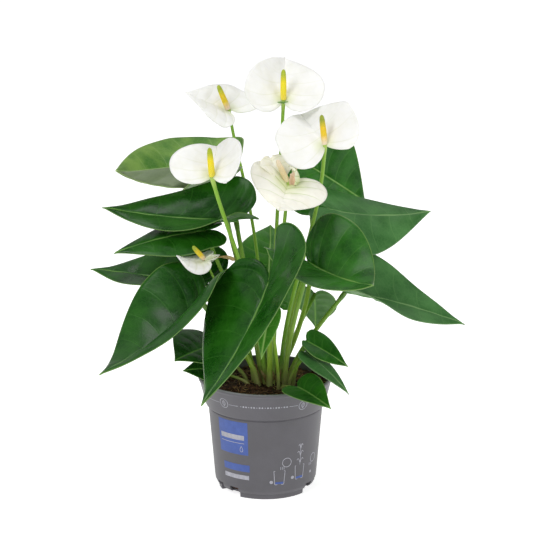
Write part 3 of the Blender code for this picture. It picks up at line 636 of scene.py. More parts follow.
def makeStalk(name, piece, end, into, finish, replaced, knuckle):
    points = stalkLine(piece, end)
    start = points[0] - (points[1] - points[0]).normalized() * stalk["buried"]
    line = smoothLine([start, *points, into], stalk["steps"])

    def shapeAt(share, fromFoot, fromTop, angle):
        radius = piece["stalk"] * (1.0 + stalk["flare"] * (1.0 - share) ** 2)
        radius *= 1.0 + stalk["sheath"] * max(1.0 - fromFoot / stalk["sheathLength"], 0.0)
        swell = max(1.0 - abs(fromTop - stalk["knuckleMiddle"]) / stalk["knuckleReach"], 0.0)
        radius *= 1.0 + knuckle * math.sin(0.5 * math.pi * swell) ** 1.5
        # a shallow channel runs up one side
        radius *= 1.0 - stalk["groove"] * max(math.cos(angle), 0.0) ** 6
        radius *= 1.0 + stalk["ribDepth"] * math.sin(stalk["ribs"] * angle + fromFoot * 0.05)
        return radius, (share, fromFoot, fromTop)

    shape = bmesh.new()
    sweepTube(shape, line, stalk["sides"], shapeAt, shape.verts.layers.float_vector.new("stalkMap"))
    addPiece(name, shape, "petiole", replaced, finish)


# Leaves, named by where they stand
leaves = {
    "back_left_top": dict(
        look="pale", at=(-35, 109, 253), facing=(197, -3, 56), length=142, width=128, lobe=17, wide=0.22,
        bend=(-61, 80), folds=((81, 98), (-4, -11)), curl=(3, -31), base=(160, 8.5), stalk=2.0,
        steep=0.78, bow=(-10, -8), rear=0.42, otherHalf=dict(rear=0.85, lobe=26)),
    "left_upper": dict(
        look="deep", at=(-26, 30, 238), facing=(180, 0, 36), length=120, width=92, lobe=17, wide=0.0,
        bend=(-16, -11), folds=((55, -1), (22, -17)), curl=(3, -24), base=(195, 8.5), stalk=2.0,
        steep=0.42, bow=(0, -6)),
    "left_middle": dict(
        look="deep", at=(-52, 14, 232), facing=(189, -3, 6), length=85, width=62, lobe=16, wide=0.12,
        bend=(19, -5), folds=((-6, -38), (5, 9)), curl=(-10, -7), base=(178, 15.5), stalk=1.7),
    "left_low": dict(
        look="deep", at=(-60, 34, 177), facing=(163, 7, 15), length=106, width=94, lobe=23, wide=0.16,
        bend=(8, 16), folds=((29, -4), (25, -4)), curl=(10, 4), base=(155, 15.5), stalk=1.8, steep=0.42,
        bow=(0, 4)),
    "front_left": dict(
        look="deep", at=(-54, -30, 178), facing=(228, -23, -7), length=129, width=105, lobe=22, wide=0.16,
        bend=(-13, -1), folds=((58, 9), (45, -10)), curl=(-37, -2), base=(218, 15.5), stalk=2.0),
    "front_centre": dict(
        look="deep", at=(3, -65, 206), facing=(-111, -36, -50), length=142, width=118, lobe=40, wide=0.11,
        bend=(-13, 58), folds=((-5, -10), (41, 21)), curl=(2, -13), base=(-95, 15.5), stalk=2.2),
    # painted light: this leaf takes the lighter look in place of the light that comes through it from
    # behind
    "back_centre": dict(
        look="fresh", at=(2, 52, 172), facing=(86, 37, -11), length=88, width=70, lobe=30, wide=0.19,
        bend=(24, 10), folds=((22, 21), (10, 9)), curl=(-1, -10), base=(110, 15.5), stalk=1.8),
    "front_right": dict(
        look="mid", at=(37, -12, 210), facing=(-55, -8, -16), length=101, width=101, lobe=15, wide=0.15,
        bend=(-19, -12), folds=((41, -27), (34, -11)), curl=(8, 13), base=(-40, 15.5), stalk=2.0),
    "right_upper": dict(
        look="matt", at=(56, 57, 242), facing=(26, -18, -17), length=106, width=104, lobe=29, wide=0.18,
        bend=(-24, 15), folds=((2, 2), (-4, -32)), curl=(-10, -17), base=(15, 8.5), stalk=2.0),
    "right_low": dict(
        look="matt", at=(71, 6, 179), facing=(8, -13, -22), length=117, width=90, lobe=30, wide=0.17,
        bend=(12, 10), folds=((26, -2), (32, -6)), curl=(6, 11), base=(2, 15.5), stalk=1.9, steep=0.3,
        bow=(0, 6)),
    "back_right": dict(
        look="mid", at=(41, 119, 268), facing=(10, -33, -71), length=67, width=88, lobe=30, wide=0.17,
        bend=(11, 10), folds=((13, 16), (0, 0)), curl=(-1, -10), base=(50, 8.5), stalk=1.9, steep=0.5,
        bow=(32, 0), arrive=(-42, 33, -57)),
    "back_low": dict(
        look="mid", at=(45, 62, 161), facing=(84, -58, -13), length=42, width=46, lobe=7, wide=0.12,
        bend=(13, 9), folds=((0, 0), (-5, -2)), curl=(-10, -13), base=(52, 15.5), stalk=1.6),
    "small_right_upper": dict(
        look="mid", at=(37, -16, 139), facing=(-12, -25, -16), length=43, width=42, lobe=4, wide=0.16,
        bend=(12, 10), folds=((4, 9), (21, -12)), curl=(-5, -2), base=(-22, 21.5), stalk=1.4),
    "small_right_middle": dict(
        look="matt", at=(36, -27, 132), facing=(-22, -31, -4), length=53, width=34, lobe=4, wide=0.20,
        bend=(19, 10), folds=((-10, 10), (5, -2)), curl=(-13, -8), base=(-44, 22), stalk=1.3),
    "small_right_rim": dict(
        look="mid", at=(28, -53, 109), facing=(-49, -6, -17), length=43, width=37, lobe=5, wide=0.13,
        bend=(17, 9), folds=((16, 4), (16, 11)), curl=(0, 1), base=(-64, 24.0), stalk=1.3),
    "small_left": dict(
        look="deep", at=(-48, 2, 130), facing=(229, 0, 15), length=47, width=70, lobe=10, wide=0.20,
        bend=(11, 10), folds=((-1, 6), (3, 3)), curl=(-11, -7), base=(186, 22.0), stalk=1.4),
    "small_left_rim": dict(
        look="deep", at=(-46, -8, 111), facing=(192, 6, 24), length=28, width=32, lobe=5, wide=0.13,
        bend=(17, 10), folds=((0, 0), (4, 9)), curl=(-10, -7), base=(203, 24.0), stalk=1.2),
    "small_front": dict(
        look="fresh", at=(4, -56, 177), facing=(-112, -57, 1), length=42, width=22, lobe=6, wide=0.11,
        bend=(11, 10), folds=((4, -1), (0, 0)), curl=(-8, -10), base=(-72, 21.5), stalk=1.3),
}

bladeSpecs = {
    "large": dict(veins=7, rowsPerVein=8, columns=26, sheet=0.28, ridge=2.1, bulge=0.9, groove=0.7,
                  wave=1.8, pucker=0.9, puckerSize=17.0, rim=0.5, lobeBulge=1.4),
    "small": dict(veins=6, rowsPerVein=6, columns=18, sheet=0.38, ridge=1.3, bulge=0.45, groove=0.4,
                  wave=0.8, pucker=0.3, puckerSize=10.0, rim=0.3),
}
bladeJoin = dict(smallBelow=60, under=1.2, into=0.6)    # where a stalk ends under its blade

for order, (place, leaf) in enumerate(leaves.items()):
    spec = bladeSpecs["small" if leaf["length"] < bladeJoin["smallBelow"] else "large"]
    finishes = leaf["look"] + "Upper", leaf["look"] + "Under"
    makeSheet("leaf_" + place, leaf, spec, finishes, "leaf", ["blade_" + place],
              seeds["leaves"] + order)
    middle, out = Vector(leaf["at"]), sheetAxes(leaf)[2]
    makeStalk("leafStalk_" + place, leaf, middle - out * (bladeJoin["under"] + leaf["stalk"]),
              middle - out * bladeJoin["into"], "leafStalk", ["petiole_" + place], stalk["knuckle"])
print("leaves:", len(leaves))


# Flowers: a spathe, the spadix that leans out of it, and the stalk
flowers = {
    "upper_left": dict(
        look="white", spike="blushed", at=(-33, 75, 328), facing=(179, 23, 24), length=42, width=71,
        lobe=9, wide=0.07, bend=(0, 13), folds=((13, 20), (12, 17)), curl=(-5, -14), base=(125, 8.5),
        stalk=1.6, steep=0.62, bow=(0, 20), lean=(-9, -1, 22), spadix=2.6),
    "top": dict(
        look="white", spike="yellow", at=(16, 50, 341), facing=(86, 42, -12), length=53, width=76,
        lobe=12, wide=0.14, bend=(20, 12), folds=((3, 48), (33, 28)), curl=(25, -10), base=(88, 8.5),
        stalk=1.8, lean=(0, 0, 27), spadix=2.7),
    "right": dict(
        look="white", spike="ripe", at=(52, 4, 310), facing=(117, 29, 21), length=59, width=78, lobe=16,
        wide=0.31, bend=(24, -21), folds=((1, 57), (30, 34)), curl=(-4, -1), base=(-20, 8.5), stalk=1.9,
        steep=0.42, bow=(0, 5), arrive=(-3, 16, -85), lean=(-3, -1, 26), spadix=2.7),
    "left": dict(
        look="white", spike="yellow", at=(-45, -36, 290), facing=(86, 32, -1), length=49, width=77,
        lobe=9, wide=0.12, bend=(20, -29), folds=((24, 47), (46, 68)), curl=(-14, 4), base=(232, 8.5),
        stalk=2.0, lean=(-2, -1, 25), spadix=2.8),
    "centre": dict(
        look="cream", spike="faded", at=(20, -12, 280), facing=(-100, -17, 15), length=47, width=71,
        lobe=14, wide=0.08, bend=(-1, 16), folds=((8, -13), (23, -9)), curl=(-10, -5), base=(-80, 8.5),
        stalk=1.8, steep=0.42, bow=(0, 8), lean=(-9, 3, 19), spadix=2.6),
    "low": dict(
        look="white", spike="blushed", at=(-52, -18, 213), facing=(172, -12, 6), length=26, width=41,
        lobe=7, wide=0.08, bend=(-43, 11), folds=((-4, 2), (15, -7)), curl=(-21, -16), base=(199, 15.5),
        stalk=1.1, lean=(-10, -2, 12), spadix=2.2),
}

# two spathes have opened further than their CAD solids
opened = {"top": dict(length=59, lobe=19), "upper_left": dict(lobe=25, otherHalf=dict(lobe=9))}

spatheSpec = dict(veins=6, rowsPerVein=8, columns=28, sheet=0.62, ridge=1.2, bulge=0.55, groove=0.35,
                  wave=0.9, pucker=0.55, puckerSize=5.0, rim=0.8)
spatheJoin = dict(ahead=0.6, sinus=1.2, into=1.8)    # it starts ahead of the spadix; the stalk goes into it
spadix = dict(lift=1.5, bend=0.03, around=10, pitch=1.5, mound=0.26, moundMiddle=0.6, ends=0.04, sides=60,
              rings=96, profile=((0.0, 0.86), (0.12, 0.97), (0.3, 1.0), (0.6, 0.94), (0.8, 0.86),
                                 (0.92, 0.70), (0.975, 0.45), (1.0, 0.12)))


def profileAt(profile, share):
    for (low, first), (high, second) in zip(profile, profile[1:]):
        if share <= high:
            return first + (second - first) * (share - low) / (high - low)
    return profile[-1][1]


# every little flower is a mound where two opposite spirals cross
def makeSpadix(name, flower, finish, replaced):
    lean = Vector(flower["lean"])
    foot = Vector(flower["at"]) + lean.normalized() * spadix["lift"]
    bend = Vector((0.0, -1.0, 0.0)) * lean.length * spadix["bend"]
    line = []
    for step in range(spadix["rings"] + 1):
        share = step / spadix["rings"]
        line.append(foot + lean * share + bend * math.sin(math.pi * share))
    rows = math.floor(lean.length / spadix["pitch"])

    def shapeAt(share, fromFoot, fromTop, angle):
        first = spadix["around"] * angle / math.tau + rows * share
        second = spadix["around"] * angle / math.tau - rows * share
        mound = abs(math.cos(math.pi * first) * math.cos(math.pi * second)) ** 0.7
        radius = flower["spadix"] * profileAt(spadix["profile"], share)
        ends = min(share / spadix["ends"], (1.0 - share) / spadix["ends"], 1.0)
        return radius + spadix["mound"] * (mound - spadix["moundMiddle"]) * ends, (share, mound, 0.0)

    shape = bmesh.new()
    sweepTube(shape, line, spadix["sides"], shapeAt, shape.verts.layers.float_vector.new("stalkMap"))
    addPiece(name, shape, "spadix", replaced, finish)


def makeSpathe(name, sheet, spec, replaced, seed):
    makeSheet(name, sheet, spec, [sheet["look"] + "Spathe"] * 2, "spathe", replaced, seed)


for order, (place, flower) in enumerate(flowers.items()):
    middle = Vector(flower["at"])
    ahead = middle + sheetAxes(flower)[1] * spatheJoin["ahead"]
    sheet = dict(flower, at=tuple(ahead), sinus=spatheJoin["sinus"], **opened.get(place, {}))
    makeSpathe("spathe_of_" + place, sheet, spatheSpec, ["spathe_" + place],
               seeds["spathes"] + order)
    makeSpadix("spadix_of_" + place, flower, flower["spike"] + "Spike", ["spadix_" + place])
    slender = dict(flower, stalk=flower["stalk"] * stalk["slim"])
    top = middle + Vector(flower["lean"]).normalized() * spatheJoin["into"]
    makeStalk("flowerStalk_" + place, slender, middle, top, "flowerStalk", ["stalk_" + place],
              stalk["flowerKnuckle"])
print("flowers:", len(flowers))

# the half-double centre flower has a wall that closes its bowl, a blushed petal by the spadix and a
# curl; the low one has two petals that stand beside its spadix
petalShape = dict(look="white", lobe=1.5, wide=0.5)
innerPetals = {
    "wall": dict(look="ivory", at=(5, 1, 300), facing=(-50, -57, 0), length=26, width=43, lobe=1.0,
                 rear=0.12, wide=0.32, bend=(-20, 0), folds=((10, 20), (10, 20)), curl=(15, 15)),
    "petal": dict(look="blush", at=(24, -13, 280), facing=(62, 66, -6), length=15, width=8, wide=0.55,
                  bend=(12, 0), folds=((35, 20), (35, 20)), curl=(30, 30)),
    "curl": dict(look="cream", at=(27, -12, 279), facing=(28, 52, 12), length=21, width=16, lobe=2,
                 bend=(-120, 0), folds=((20, 35), (25, 35)), curl=(30, 30)),
    "lowUpright": dict(at=(-50, -18, 213), facing=(-8, 46, 24), length=13, width=8, bend=(40, 0),
                       folds=((20, 20), (20, 20)), curl=(20, 20)),
    "lowAside": dict(at=(-50, -19, 212.5), facing=(-22, 14, -10), length=12, width=8, bend=(-30, 0),
                     folds=((20, 20), (20, 20)), curl=(20, 20)),
}
innerSpec = dict(spatheSpec, veins=4, rowsPerVein=7, columns=12, wave=0.8, pucker=0.35, rim=0.4, bulge=0.3)
for order, (petal, sheet) in enumerate(innerPetals.items()):
    makeSpathe("innerPetal_" + petal, dict(petalShape, **sheet), innerSpec, [],
               seeds["innerPetals"] + order)

# two small green bracts under the top flower's spadix
collar = dict(at=(16, 49, 340.5), length=9, width=6, lobe=1, wide=0.4, bend=(45, 0),
              folds=((15, 10), (15, 10)), curl=(10, 10))
for order, turn in enumerate((8, 172)):
    makeSheet(f"collarBract{order}", dict(collar, facing=(turn, 12, 0)),
              dict(innerSpec, veins=3, rowsPerVein=5, columns=7), ["freshUpper", "freshUnder"],
              "petiole", [], seeds["collars"] + order)

# the dried bract that the left flower's stalk still carries, from a point on it
papery = dict(bladeSpecs["small"], pucker=0.5, puckerSize=3.0)
dryBract = dict(flower="left", point=4, aside=(-7.5, -3.5, 9.0), facing=(178, 22, 0), length=17, width=7,
                lobe=1.5, wide=0.35, bend=(30, 0), folds=((30, 12), (30, 12)), curl=(15, 15))
carrier = flowers[dryBract["flower"]]
bractFoot = stalkLine(carrier, Vector(carrier["at"]))[dryBract["point"]] + Vector(dryBract["aside"])
makeSheet("driedBract", dict(dryBract, at=tuple(bractFoot)),
          dict(papery, sheet=0.5, ridge=0.7, wave=1.5, pucker=0.6), ["paperyBract"] * 2,
          "dry_bract", ["dry_sheath"], seeds["driedBract"])


# Pot, a moulded 12 cm nursery pot: radius and height pairs, its feet and its drain holes
pot = dict(
    inside=((0.0, 1.6), (24.0, 1.6), (25.5, 5.6), (42.0, 5.6), (43.8, 9.0), (44.4, 12.0), (49.8, 76.1),
            (51.8, 78.1), (57.6, 100.0), (58.0, 103.0)),
    rim=((59.3, 103.0), (60.0, 102.3), (60.0, 100.6)),
    wall=((59.0, 99.6), (53.8, 78.9), (53.1, 77.4), (50.8, 77.2), (50.7, 75.8), (51.1, 75.0), (45.8, 12.0)),
    foot=((45.3, 8.0), (43.9, 5.0), (42.5, 5.0), (42.0, 0.0), (37.5, 0.0), (37.5, 4.0), (26.5, 4.0),
          (25.0, 0.0), (0.0, 0.0)),
    rounding=0.45, sides=144, smoothBelow=38.0, feet=3, footSpan=84.0, footCentre=-80.0,
    gapCut=(36.5, 43.1, -1.0, 4.0), notchCut=(40.5, 50.0, 3.0, 9.5), notchSpan=12.0,
    holes=6, holeRadius=3.5, holeCircle=31.0, holeTurn=30.0)


# replaces each corner of a profile by a small arc
def roundCorners(profile, radius):
    done = [profile[0]]
    for before, corner, after in zip(profile, profile[1:], profile[2:]):
        back, ahead = before - corner, after - corner
        reach = min(radius, back.length * 0.4, ahead.length * 0.4)
        start, end = corner + back.normalized() * reach, corner + ahead.normalized() * reach
        for share in (0.0, 0.33, 0.67, 1.0):
            rest = 1.0 - share
            done.append(start * rest ** 2 + corner * 2.0 * share * rest + end * share ** 2)
    return done + [profile[-1]]


def addRing(shape, radius, height, sides):
    return [shape.verts.new(polar(radius, math.tau * side / sides, height)) for side in range(sides)]


# a block between two radii, two heights and two angles, to cut with
def ringBlock(near, far, low, high, start, span, steps=8):
    shape = bmesh.new()
    corners = (near, low), (far, low), (far, high), (near, high)
    addStrip(shape, [[(radius, start + span * step / steps, height) for radius, height in corners]
                     for step in range(steps + 1)])
    bmesh.ops.recalc_face_normals(shape, faces=shape.faces)
    return shape


def drainHole(angle):
    shape = bmesh.new()
    radius, turn = pot["holeRadius"] * mm, math.radians(angle)
    middle = Vector((pot["holeCircle"] * math.cos(turn), pot["holeCircle"] * math.sin(turn), 4.0)) * mm
    bmesh.ops.create_cone(shape, cap_ends=True, segments=28, radius1=radius, radius2=radius, depth=8.0 * mm)
    bmesh.ops.translate(shape, verts=shape.verts, vec=middle)
    return shape


def makePot():
    shape = bmesh.new()
    profile = [Vector(point) for part in ("inside", "rim", "wall", "foot") for point in pot[part]]
    bridgeRings(shape, [addRing(shape, point.x, point.y, pot["sides"] if point.x > 0.01 else 1)
                        for point in roundCorners(profile, pot["rounding"])])
    bmesh.ops.recalc_face_normals(shape, faces=shape.faces)
    body = bpy.data.objects.new("potBody", meshFrom(shape, "pot", False))
    bpy.context.scene.collection.objects.link(body)
    pitch = 360.0 / pot["feet"]
    cutters = []
    for foot in range(pot["feet"]):
        centre = pot["footCentre"] + pitch * foot
        cutters.append(ringBlock(*pot["gapCut"], centre + pot["footSpan"] / 2.0, pitch - pot["footSpan"]))
        for end in (-1.0, 1.0):
            middle = centre + end * (pot["footSpan"] + pot["notchSpan"]) / 2.0
            cutters.append(ringBlock(*pot["notchCut"], middle - pot["notchSpan"] / 2.0, pot["notchSpan"]))
    for hole in range(pot["holes"]):
        cutters.append(drainHole(pot["footCentre"] + pot["holeTurn"] + hole * 360.0 / pot["holes"]))
    tools = []
    for order, cutter in enumerate(cutters):
        tool = bpy.data.objects.new(f"cutter{order}", meshFrom(cutter, "cutter", False))
        bpy.context.scene.collection.objects.link(tool)
        cut = body.modifiers.new("cut", "BOOLEAN")
        cut.operation = "DIFFERENCE"
        cut.solver = "EXACT"
        cut.object = tool
        tools.append(tool)
    mesh = bpy.data.meshes.new_from_object(body.evaluated_get(bpy.context.evaluated_depsgraph_get()))
    for old in (*tools, body):
        bpy.data.objects.remove(old, do_unlink=True)
    mesh.shade_smooth()
    mesh.set_sharp_from_angle(angle=math.radians(pot["smoothBelow"]))
    addPiece("nurseryPot", mesh, "moulded_grey", ["pot"], "mouldedGreyPolypropylene")


makePot()


# Print: plain shapes laid on the wall as thin films, with no lettering
def wallRadius(height):
    for (topRadius, top), (lowRadius, low) in zip(pot["wall"], pot["wall"][1:]):
        if low <= height <= top:
            return lowRadius + (topRadius - lowRadius) * (height - low) / (top - low)
    return pot["wall"][-1][0]


film = dict(proud=0.10, barProud=0.18, sunk=-0.15)


# a film between two lines of (angle, height) points
def addFilm(shape, firstLine, secondLine, proud=film["proud"]):
    columns = []
    for first, second in zip(firstLine, secondLine):
        corners = (first, proud), (second, proud), (second, film["sunk"]), (first, film["sunk"])
        columns.append([(wallRadius(height) + lift, angle, height) for (angle, height), lift in corners])
    addStrip(shape, columns)


def addPanel(shape, start, end, low, high, steps=16, proud=film["proud"]):
    angles = [start + (end - start) * step / steps for step in range(steps + 1)]
    addFilm(shape, [(angle, low) for angle in angles], [(angle, high) for angle in angles], proud)


# a line of even width through points given in millimetres from a centre on the wall
def addStroke(shape, centre, points, width):
    angle, height = centre
    scale = math.degrees(1.0 / wallRadius(height))
    spots = [Vector(point) for point in points]
    left, right = [], []
    for order, spot in enumerate(spots):
        ahead = (spots[min(order + 1, len(spots) - 1)] - spots[max(order - 1, 0)]).normalized()
        side = Vector((-ahead.y, ahead.x)) * width / 2.0
        for line, edge in ((left, spot + side), (right, spot - side)):
            line.append((angle + edge.x * scale, height + edge.y))
    addFilm(shape, left, right)


def addCircle(shape, centre, radius, width, steps=28):
    turns = [math.radians(360.0 * step / steps) for step in range(steps + 1)]
    addStroke(shape, centre, [(radius * math.cos(turn), radius * math.sin(turn)) for turn in turns], width)


# a filled round dot
def addDot(shape, centre, radius, steps=12):
    angle, height = centre
    scale = math.degrees(1.0 / wallRadius(height))
    addFilm(shape, *[[(angle - radius * math.cos(math.pi * step / steps) * scale,
                       height + side * radius * math.sin(math.pi * (0.02 + 0.96 * step / steps)))
                      for step in range(steps + 1)] for side in (1.0, -1.0)])


# angles in degrees round the pot and heights in millimetres; a stroke's own points are in millimetres
printing = dict(
    bluePanels=((-144.0, -108.0, 42.5, 73.5), (-140.0, -107.0, 26.5, 33.0)),
    paleBars=((-141.0, -112.0, 56.5, 61.0), (-141.0, -112.0, 53.2, 53.7), (-139.5, -108.0, 19.0, 23.0)),
    thin=0.4, line=0.5, bold=0.55, drop=dict(centre=(-115.5, 48.0), half=(1.9, 2.6), width=0.45, steps=20),
    rings=((-129.5, 90.7), (-54.1, 89.5)), ringRadius=4.3, leaf=(1.5, 2.6),
    leafRib=((0.0, -3.2), (0.0, 0.0), (0.0, 1.6)),
    rules=((-152.0, -135.0), (-124.0, -114.5), (-68.0, -60.0), (-48.5, -30.0)), ruleHeight=90.2,
    ticks=18, firstTick=-112.0, tickPitch=2.45, tickSizes=(0.45, 0.75, 0.75),
    pots=((-74.5, 15.0), (-50.0, 17.5)), water=(4.6, 0.6, 2.4), dotAside=(-9.0, 2.6), dot=1.5,
    potLine=((-4.4, 13.0), (-5.0, 13.0), (-5.0, 12.4), (-4.2, 0.6), (-3.6, 0.0), (3.6, 0.0), (4.2, 0.6),
             (5.0, 12.4), (5.0, 13.0), (-5.0, 13.0)),
    cans=((-66.5, 35.5, 4.2), (-28.0, 33.0, 4.0)), rain=dict(aside=-5.0, apart=1.9, below=-5.0, half=1.3),
    lastDot=(-31.2, 20.2, 1.3), plantAngle=-50.0, plantLeaves=((33.0, 3.4), (40.0, 3.0), (46.5, 2.2)),
    plantStem=((0.0, 0.0), (0.2, 9.0), (-0.2, 20.0)), stemFoot=31.0)


def makePrint(spec):
    pale, blue = bmesh.new(), bmesh.new()
    for panel in spec["bluePanels"]:
        addPanel(blue, *panel)
    for bar in spec["paleBars"]:
        addPanel(pale, *bar, proud=film["barProud"])
    thin, line, bold = spec["thin"], spec["line"], spec["bold"]
    drop = spec["drop"]
    across, along = drop["half"]
    shares = [step / drop["steps"] for step in range(drop["steps"] + 1)]
    addStroke(pale, drop["centre"], [(across * math.sin(math.tau * s) * math.sin(math.pi * s) ** 1.2,
                                      along * math.cos(math.tau * s)) for s in shares], drop["width"])
    # a leaf in each ring: two arcs and a midrib
    across, along = spec["leaf"]
    for centre in spec["rings"]:
        addCircle(pale, centre, spec["ringRadius"], line)
        for side in (-1.0, 1.0):
            addStroke(pale, centre, [(side * across * math.sin(math.pi * s / 10), along * (s / 5 - 1.0))
                                     for s in range(11)], thin)
        addStroke(pale, centre, spec["leafRib"], thin)
    height = spec["ruleHeight"]
    for start, end in spec["rules"]:
        addPanel(pale, start, end, height - thin / 2.0, height + thin / 2.0, 8)
    for tick in range(spec["ticks"]):
        angle = spec["firstTick"] + tick * spec["tickPitch"]
        addDot(pale, (angle, height), spec["tickSizes"][tick % 3])
    # two pots with water in them and a dot at their side
    half, low, high = spec["water"]
    for angle, height in spec["pots"]:
        addStroke(pale, (angle, height), spec["potLine"], bold)
        addPanel(blue, angle - half, angle + half, height + low, height + high, 6)
        aside, above = spec["dotAside"]
        addDot(pale, (angle + aside, height + above), spec["dot"])
    # drops over the first pot, and again at the edge of the print
    rain = spec["rain"]
    for angle, height, radius in spec["cans"]:
        addCircle(pale, (angle, height), radius, bold)
        for side in (-1.0, 0.0, 1.0):
            addStroke(pale, (angle + rain["aside"] + side * rain["apart"], height + rain["below"]),
                      [(0.0, -rain["half"]), (0.0, 0.0), (0.0, rain["half"])], line)
    addDot(pale, spec["lastDot"][:2], spec["lastDot"][2])
    # a plant over the second pot
    angle = spec["plantAngle"]
    for side in (-1.0, 1.0):
        for height, reach in spec["plantLeaves"]:
            leafLine = [(side * (reach * s / 10 + 0.2), 4.0 * math.sin(math.pi * s / 13))
                        for s in range(11)]
            addStroke(pale, (angle, height), leafLine, line)
    addStroke(pale, (angle, spec["stemFoot"]), spec["plantStem"], line)
    for shape, name, finish in ((pale, "potPrintPale", "printedPaleInk"),
                                (blue, "potPrintBlue", "printedBlueInk")):
        bmesh.ops.recalc_face_normals(shape, faces=shape.faces)
        addPiece(name, shape, "moulded_grey", [], finish, smooth=False)


makePrint(printing)
print("pot and its print")


# Peat: a lumpy surface with crumbs and coir fibres, and the corky stem base; the sizes of lumps are
# width and height, and the plug below has a radius at each height
peat = dict(sides=150, rings=44, wall=56.4, sink=0.8, lumps=((14.0, 1.5), (5.0, 0.9), (1.8, 0.5)),
            plug=((55.2, 90.0), (50.9, 78.9), (48.9, 73.3), (43.6, 12.0), (41.0, 6.4)))
crumb = dict(count=520, spread=54.0, sizes=(0.8, 1.1, 1.5, 2.2), highest=98.5, rough=0.45)
fibre = dict(count=190, spread=51.0, stay=54.0, length=(5.0, 19.0), thick=(0.12, 0.34), steps=8,
             shortest=3.0, sides=6, thinner=0.6)


def peatTop(x, y):
    height = soilTop(math.hypot(x, y)) - peat["sink"]
    for size, depth in peat["lumps"]:
        height += depth * noise.noise(Vector((x / size, y / size, size)))
    return height


def makePeat():
    shape = bmesh.new()
    rings = [[shape.verts.new((0.0, 0.0, peatTop(0.0, 0.0) * mm))]]
    for step in range(1, peat["rings"] + 1):
        ring = addRing(shape, peat["wall"] * step / peat["rings"], 0.0, peat["sides"])
        for vert in ring:
            vert.co.z = peatTop(vert.co.x / mm, vert.co.y / mm) * mm
        rings.append(ring)
    rings += [addRing(shape, radius, height, peat["sides"]) for radius, height in peat["plug"]]
    bridgeRings(shape, rings, inward=True)
    shape.faces.new(list(reversed(rings[-1])))
    addPiece("peat", shape, "peat", ["soil"], "dampPeat")


# a random place on the peat, within a radius
def spotWithin(limit):
    radius = limit * math.sqrt(random.random())
    angle = random.uniform(0.0, math.tau)
    return Vector((radius * math.cos(angle), radius * math.sin(angle)))


def makeCrumbs():
    random.seed(seeds["crumbs"])
    shape = bmesh.new()
    for _ in range(crumb["count"]):
        spot = spotWithin(crumb["spread"])
        size = random.choice(crumb["sizes"])
        rounds = 2 if size > 1.4 else 1
        made = bmesh.ops.create_icosphere(shape, subdivisions=rounds, radius=size * mm)["verts"]
        stretch = Vector((random.uniform(0.6, 1.5), random.uniform(0.6, 1.2), random.uniform(0.45, 0.8)))
        turn = (Matrix.Rotation(random.uniform(0.0, math.tau), 3, "Z")
                @ Matrix.Rotation(random.uniform(-0.5, 0.5), 3, "X"))
        height = min(peatTop(*spot) + 0.3 * size, crumb["highest"])
        middle = Vector((*spot, height)) * mm
        seed = Vector([random.uniform(0.0, 50.0)] * 3)
        for vert in made:
            local = vert.co / mm
            rough = 1.0 + crumb["rough"] * noise.noise(local * 0.9 + seed)
            vert.co = middle + turn @ (local * stretch) * rough * mm
    addPiece("peatCrumbs", shape, "peat", [], "peatCrumb", smooth=False)


def makeFibres():
    random.seed(seeds["fibres"])
    shape = bmesh.new()
    steps = fibre["steps"]
    for _ in range(fibre["count"]):
        spot = spotWithin(fibre["spread"])
        heading = random.uniform(0.0, math.tau)
        length = random.uniform(*fibre["length"])
        bend = random.uniform(-1.2, 1.2)
        rise = random.uniform(0.0, 0.35) ** 2 * length
        line = []
        for step in range(steps + 1):
            spot = spot + Vector((math.cos(heading), math.sin(heading))) * length / steps
            heading += bend / steps + random.uniform(-0.12, 0.12)
            if spot.length > fibre["stay"]:
                spot = spot * fibre["stay"] / spot.length
            lift = rise * math.sin(math.pi * step / steps) + random.uniform(0.15, 0.5)
            line.append(Vector((*spot, peatTop(*spot) + lift)))
        if (line[-1] - line[0]).length < fibre["shortest"]:
            continue
        thick = random.uniform(*fibre["thick"])
        sweepTube(shape, line, fibre["sides"], lambda share, *_:
                  (thick * (1.0 - fibre["thinner"] * abs(2.0 * share - 1.0) ** 2), None))
    addPiece("peatFibres", shape, "peat", [], "coirFibre")


# a knobbly stub with the stubs of old bracts round it
def makeCrown():
    random.seed(seeds["crown"])
    shape = bmesh.new()
    foot = Vector((*crown["centre"], soilTop(5.0) - 2.0))
    line = [foot + Vector((0.4 * math.sin(step * 0.9), 0.3 * math.cos(step * 1.3), step * crown["pitch"]))
            for step in range(crown["rings"])]

    def shapeAt(share, run, rest, angle):
        radius = crown["radius"] * profileAt(crown["taper"], share)
        knob = noise.noise(Vector((math.cos(angle) * 1.6, math.sin(angle) * 1.6, run * 0.35)))
        return radius * (1.0 + crown["knobs"] * knob) * (1.0 + 0.05 * math.sin(run * 2.6)), None

    sweepTube(shape, line, crown["sides"], shapeAt)
    addPiece("stemBase", shape, "stem_base", ["crown"], "corkyStem")
    spec = dict(papery, veins=5, rowsPerVein=4, columns=8, sheet=0.6, ridge=0.6, wave=1.0)
    for order in range(crown["bracts"]):
        angle = 360.0 / crown["bracts"] * order + random.uniform(-12.0, 12.0)
        bract = dict(at=tuple(byCrown(angle, random.uniform(6.0, 11.0), -0.5)),
                     facing=(angle, random.uniform(62, 84), 0), length=random.uniform(12, 24),
                     width=random.uniform(6, 9), lobe=1.2, wide=0.3, bend=(random.uniform(-10, 30), 0),
                     folds=((35, 10), (35, 10)), curl=(25, 25))
        makeSheet(f"oldBract{order}", bract, spec, ["paperyBract"] * 2, "dry_bract", [],
                  seeds["oldBracts"] + order)


makePeat()
makeCrumbs()
makeFibres()
makeCrown()
print("peat and stem base")


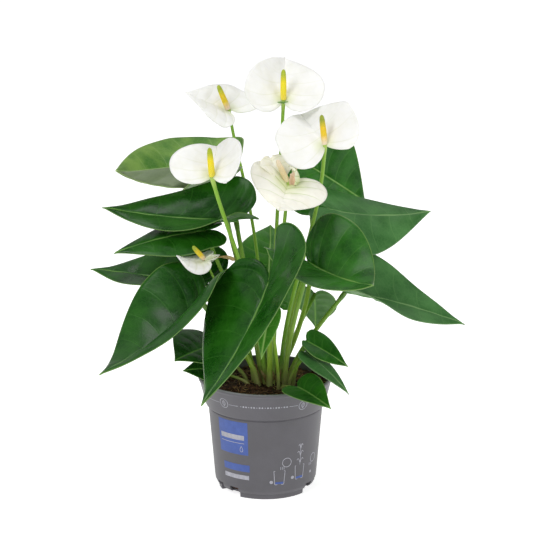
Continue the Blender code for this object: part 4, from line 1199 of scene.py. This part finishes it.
# Floor, light and camera
floorPaper = {"Base Color": toLinear("#F0F0F0"), "Roughness": 0.9, "Specular IOR Level": 0.1,
              "Emission Color": toLinear("#FFFFFF"), "Emission Strength": 0.72}
lights = {
    "softKey": dict(place=(-1.3, -1.6, 1.9), watts=22.0),
    "softFill": dict(place=(1.7, -1.2, 1.1), watts=9.0),
    "overhead": dict(place=(0.1, 0.5, 2.1), watts=11.0),
}
lightAim, lightSize = (0.0, 0.0, 0.2), 1.1
camera = dict(target=(0.0103, 0.0, 0.193), distance=1.8, height=15.0, focal=132.6, sensor=36.0)


def makeStage():
    shape = bmesh.new()
    bmesh.ops.create_circle(shape, cap_ends=True, segments=96, radius=14.0)
    floor = bpy.data.objects.new("floor", meshFrom(shape, "floor"))
    bpy.context.scene.collection.objects.link(floor)
    floor.data.materials.append(newMaterial("whitePaper", floorPaper))


def makeLight(name, place, watts):
    data = bpy.data.lights.new(name, "AREA")
    data.size = lightSize
    data.energy = watts
    light = bpy.data.objects.new(name, data)
    light.location = place
    light.rotation_euler = (Vector(lightAim) - Vector(place)).to_track_quat("-Z", "Y").to_euler()
    bpy.context.scene.collection.objects.link(light)


def makeCamera():
    data = bpy.data.cameras.new("camera")
    data.lens = camera["focal"]
    data.sensor_width = camera["sensor"]
    view = bpy.data.objects.new("camera", data)
    rise = math.radians(camera["height"])
    view.location = (Vector(camera["target"])
                     + camera["distance"] * Vector((0.0, -math.cos(rise), math.sin(rise))))
    view.rotation_euler = (math.radians(90.0) - rise, 0.0, 0.0)
    bpy.context.scene.collection.objects.link(view)
    bpy.context.scene.camera = view


def makeWorld():
    world = bpy.data.worlds.new("paleStudio")
    world.use_nodes = True
    background = world.node_tree.nodes["Background"]
    background.inputs["Color"].default_value = toLinear("#FFFFFF")
    background.inputs["Strength"].default_value = 0.38
    bpy.context.scene.world = world
    bpy.context.scene.view_settings.view_transform = "Standard"


makeStage()
for name, light in lights.items():
    makeLight(name, **light)
makeCamera()
makeWorld()
print("stage, light and camera")
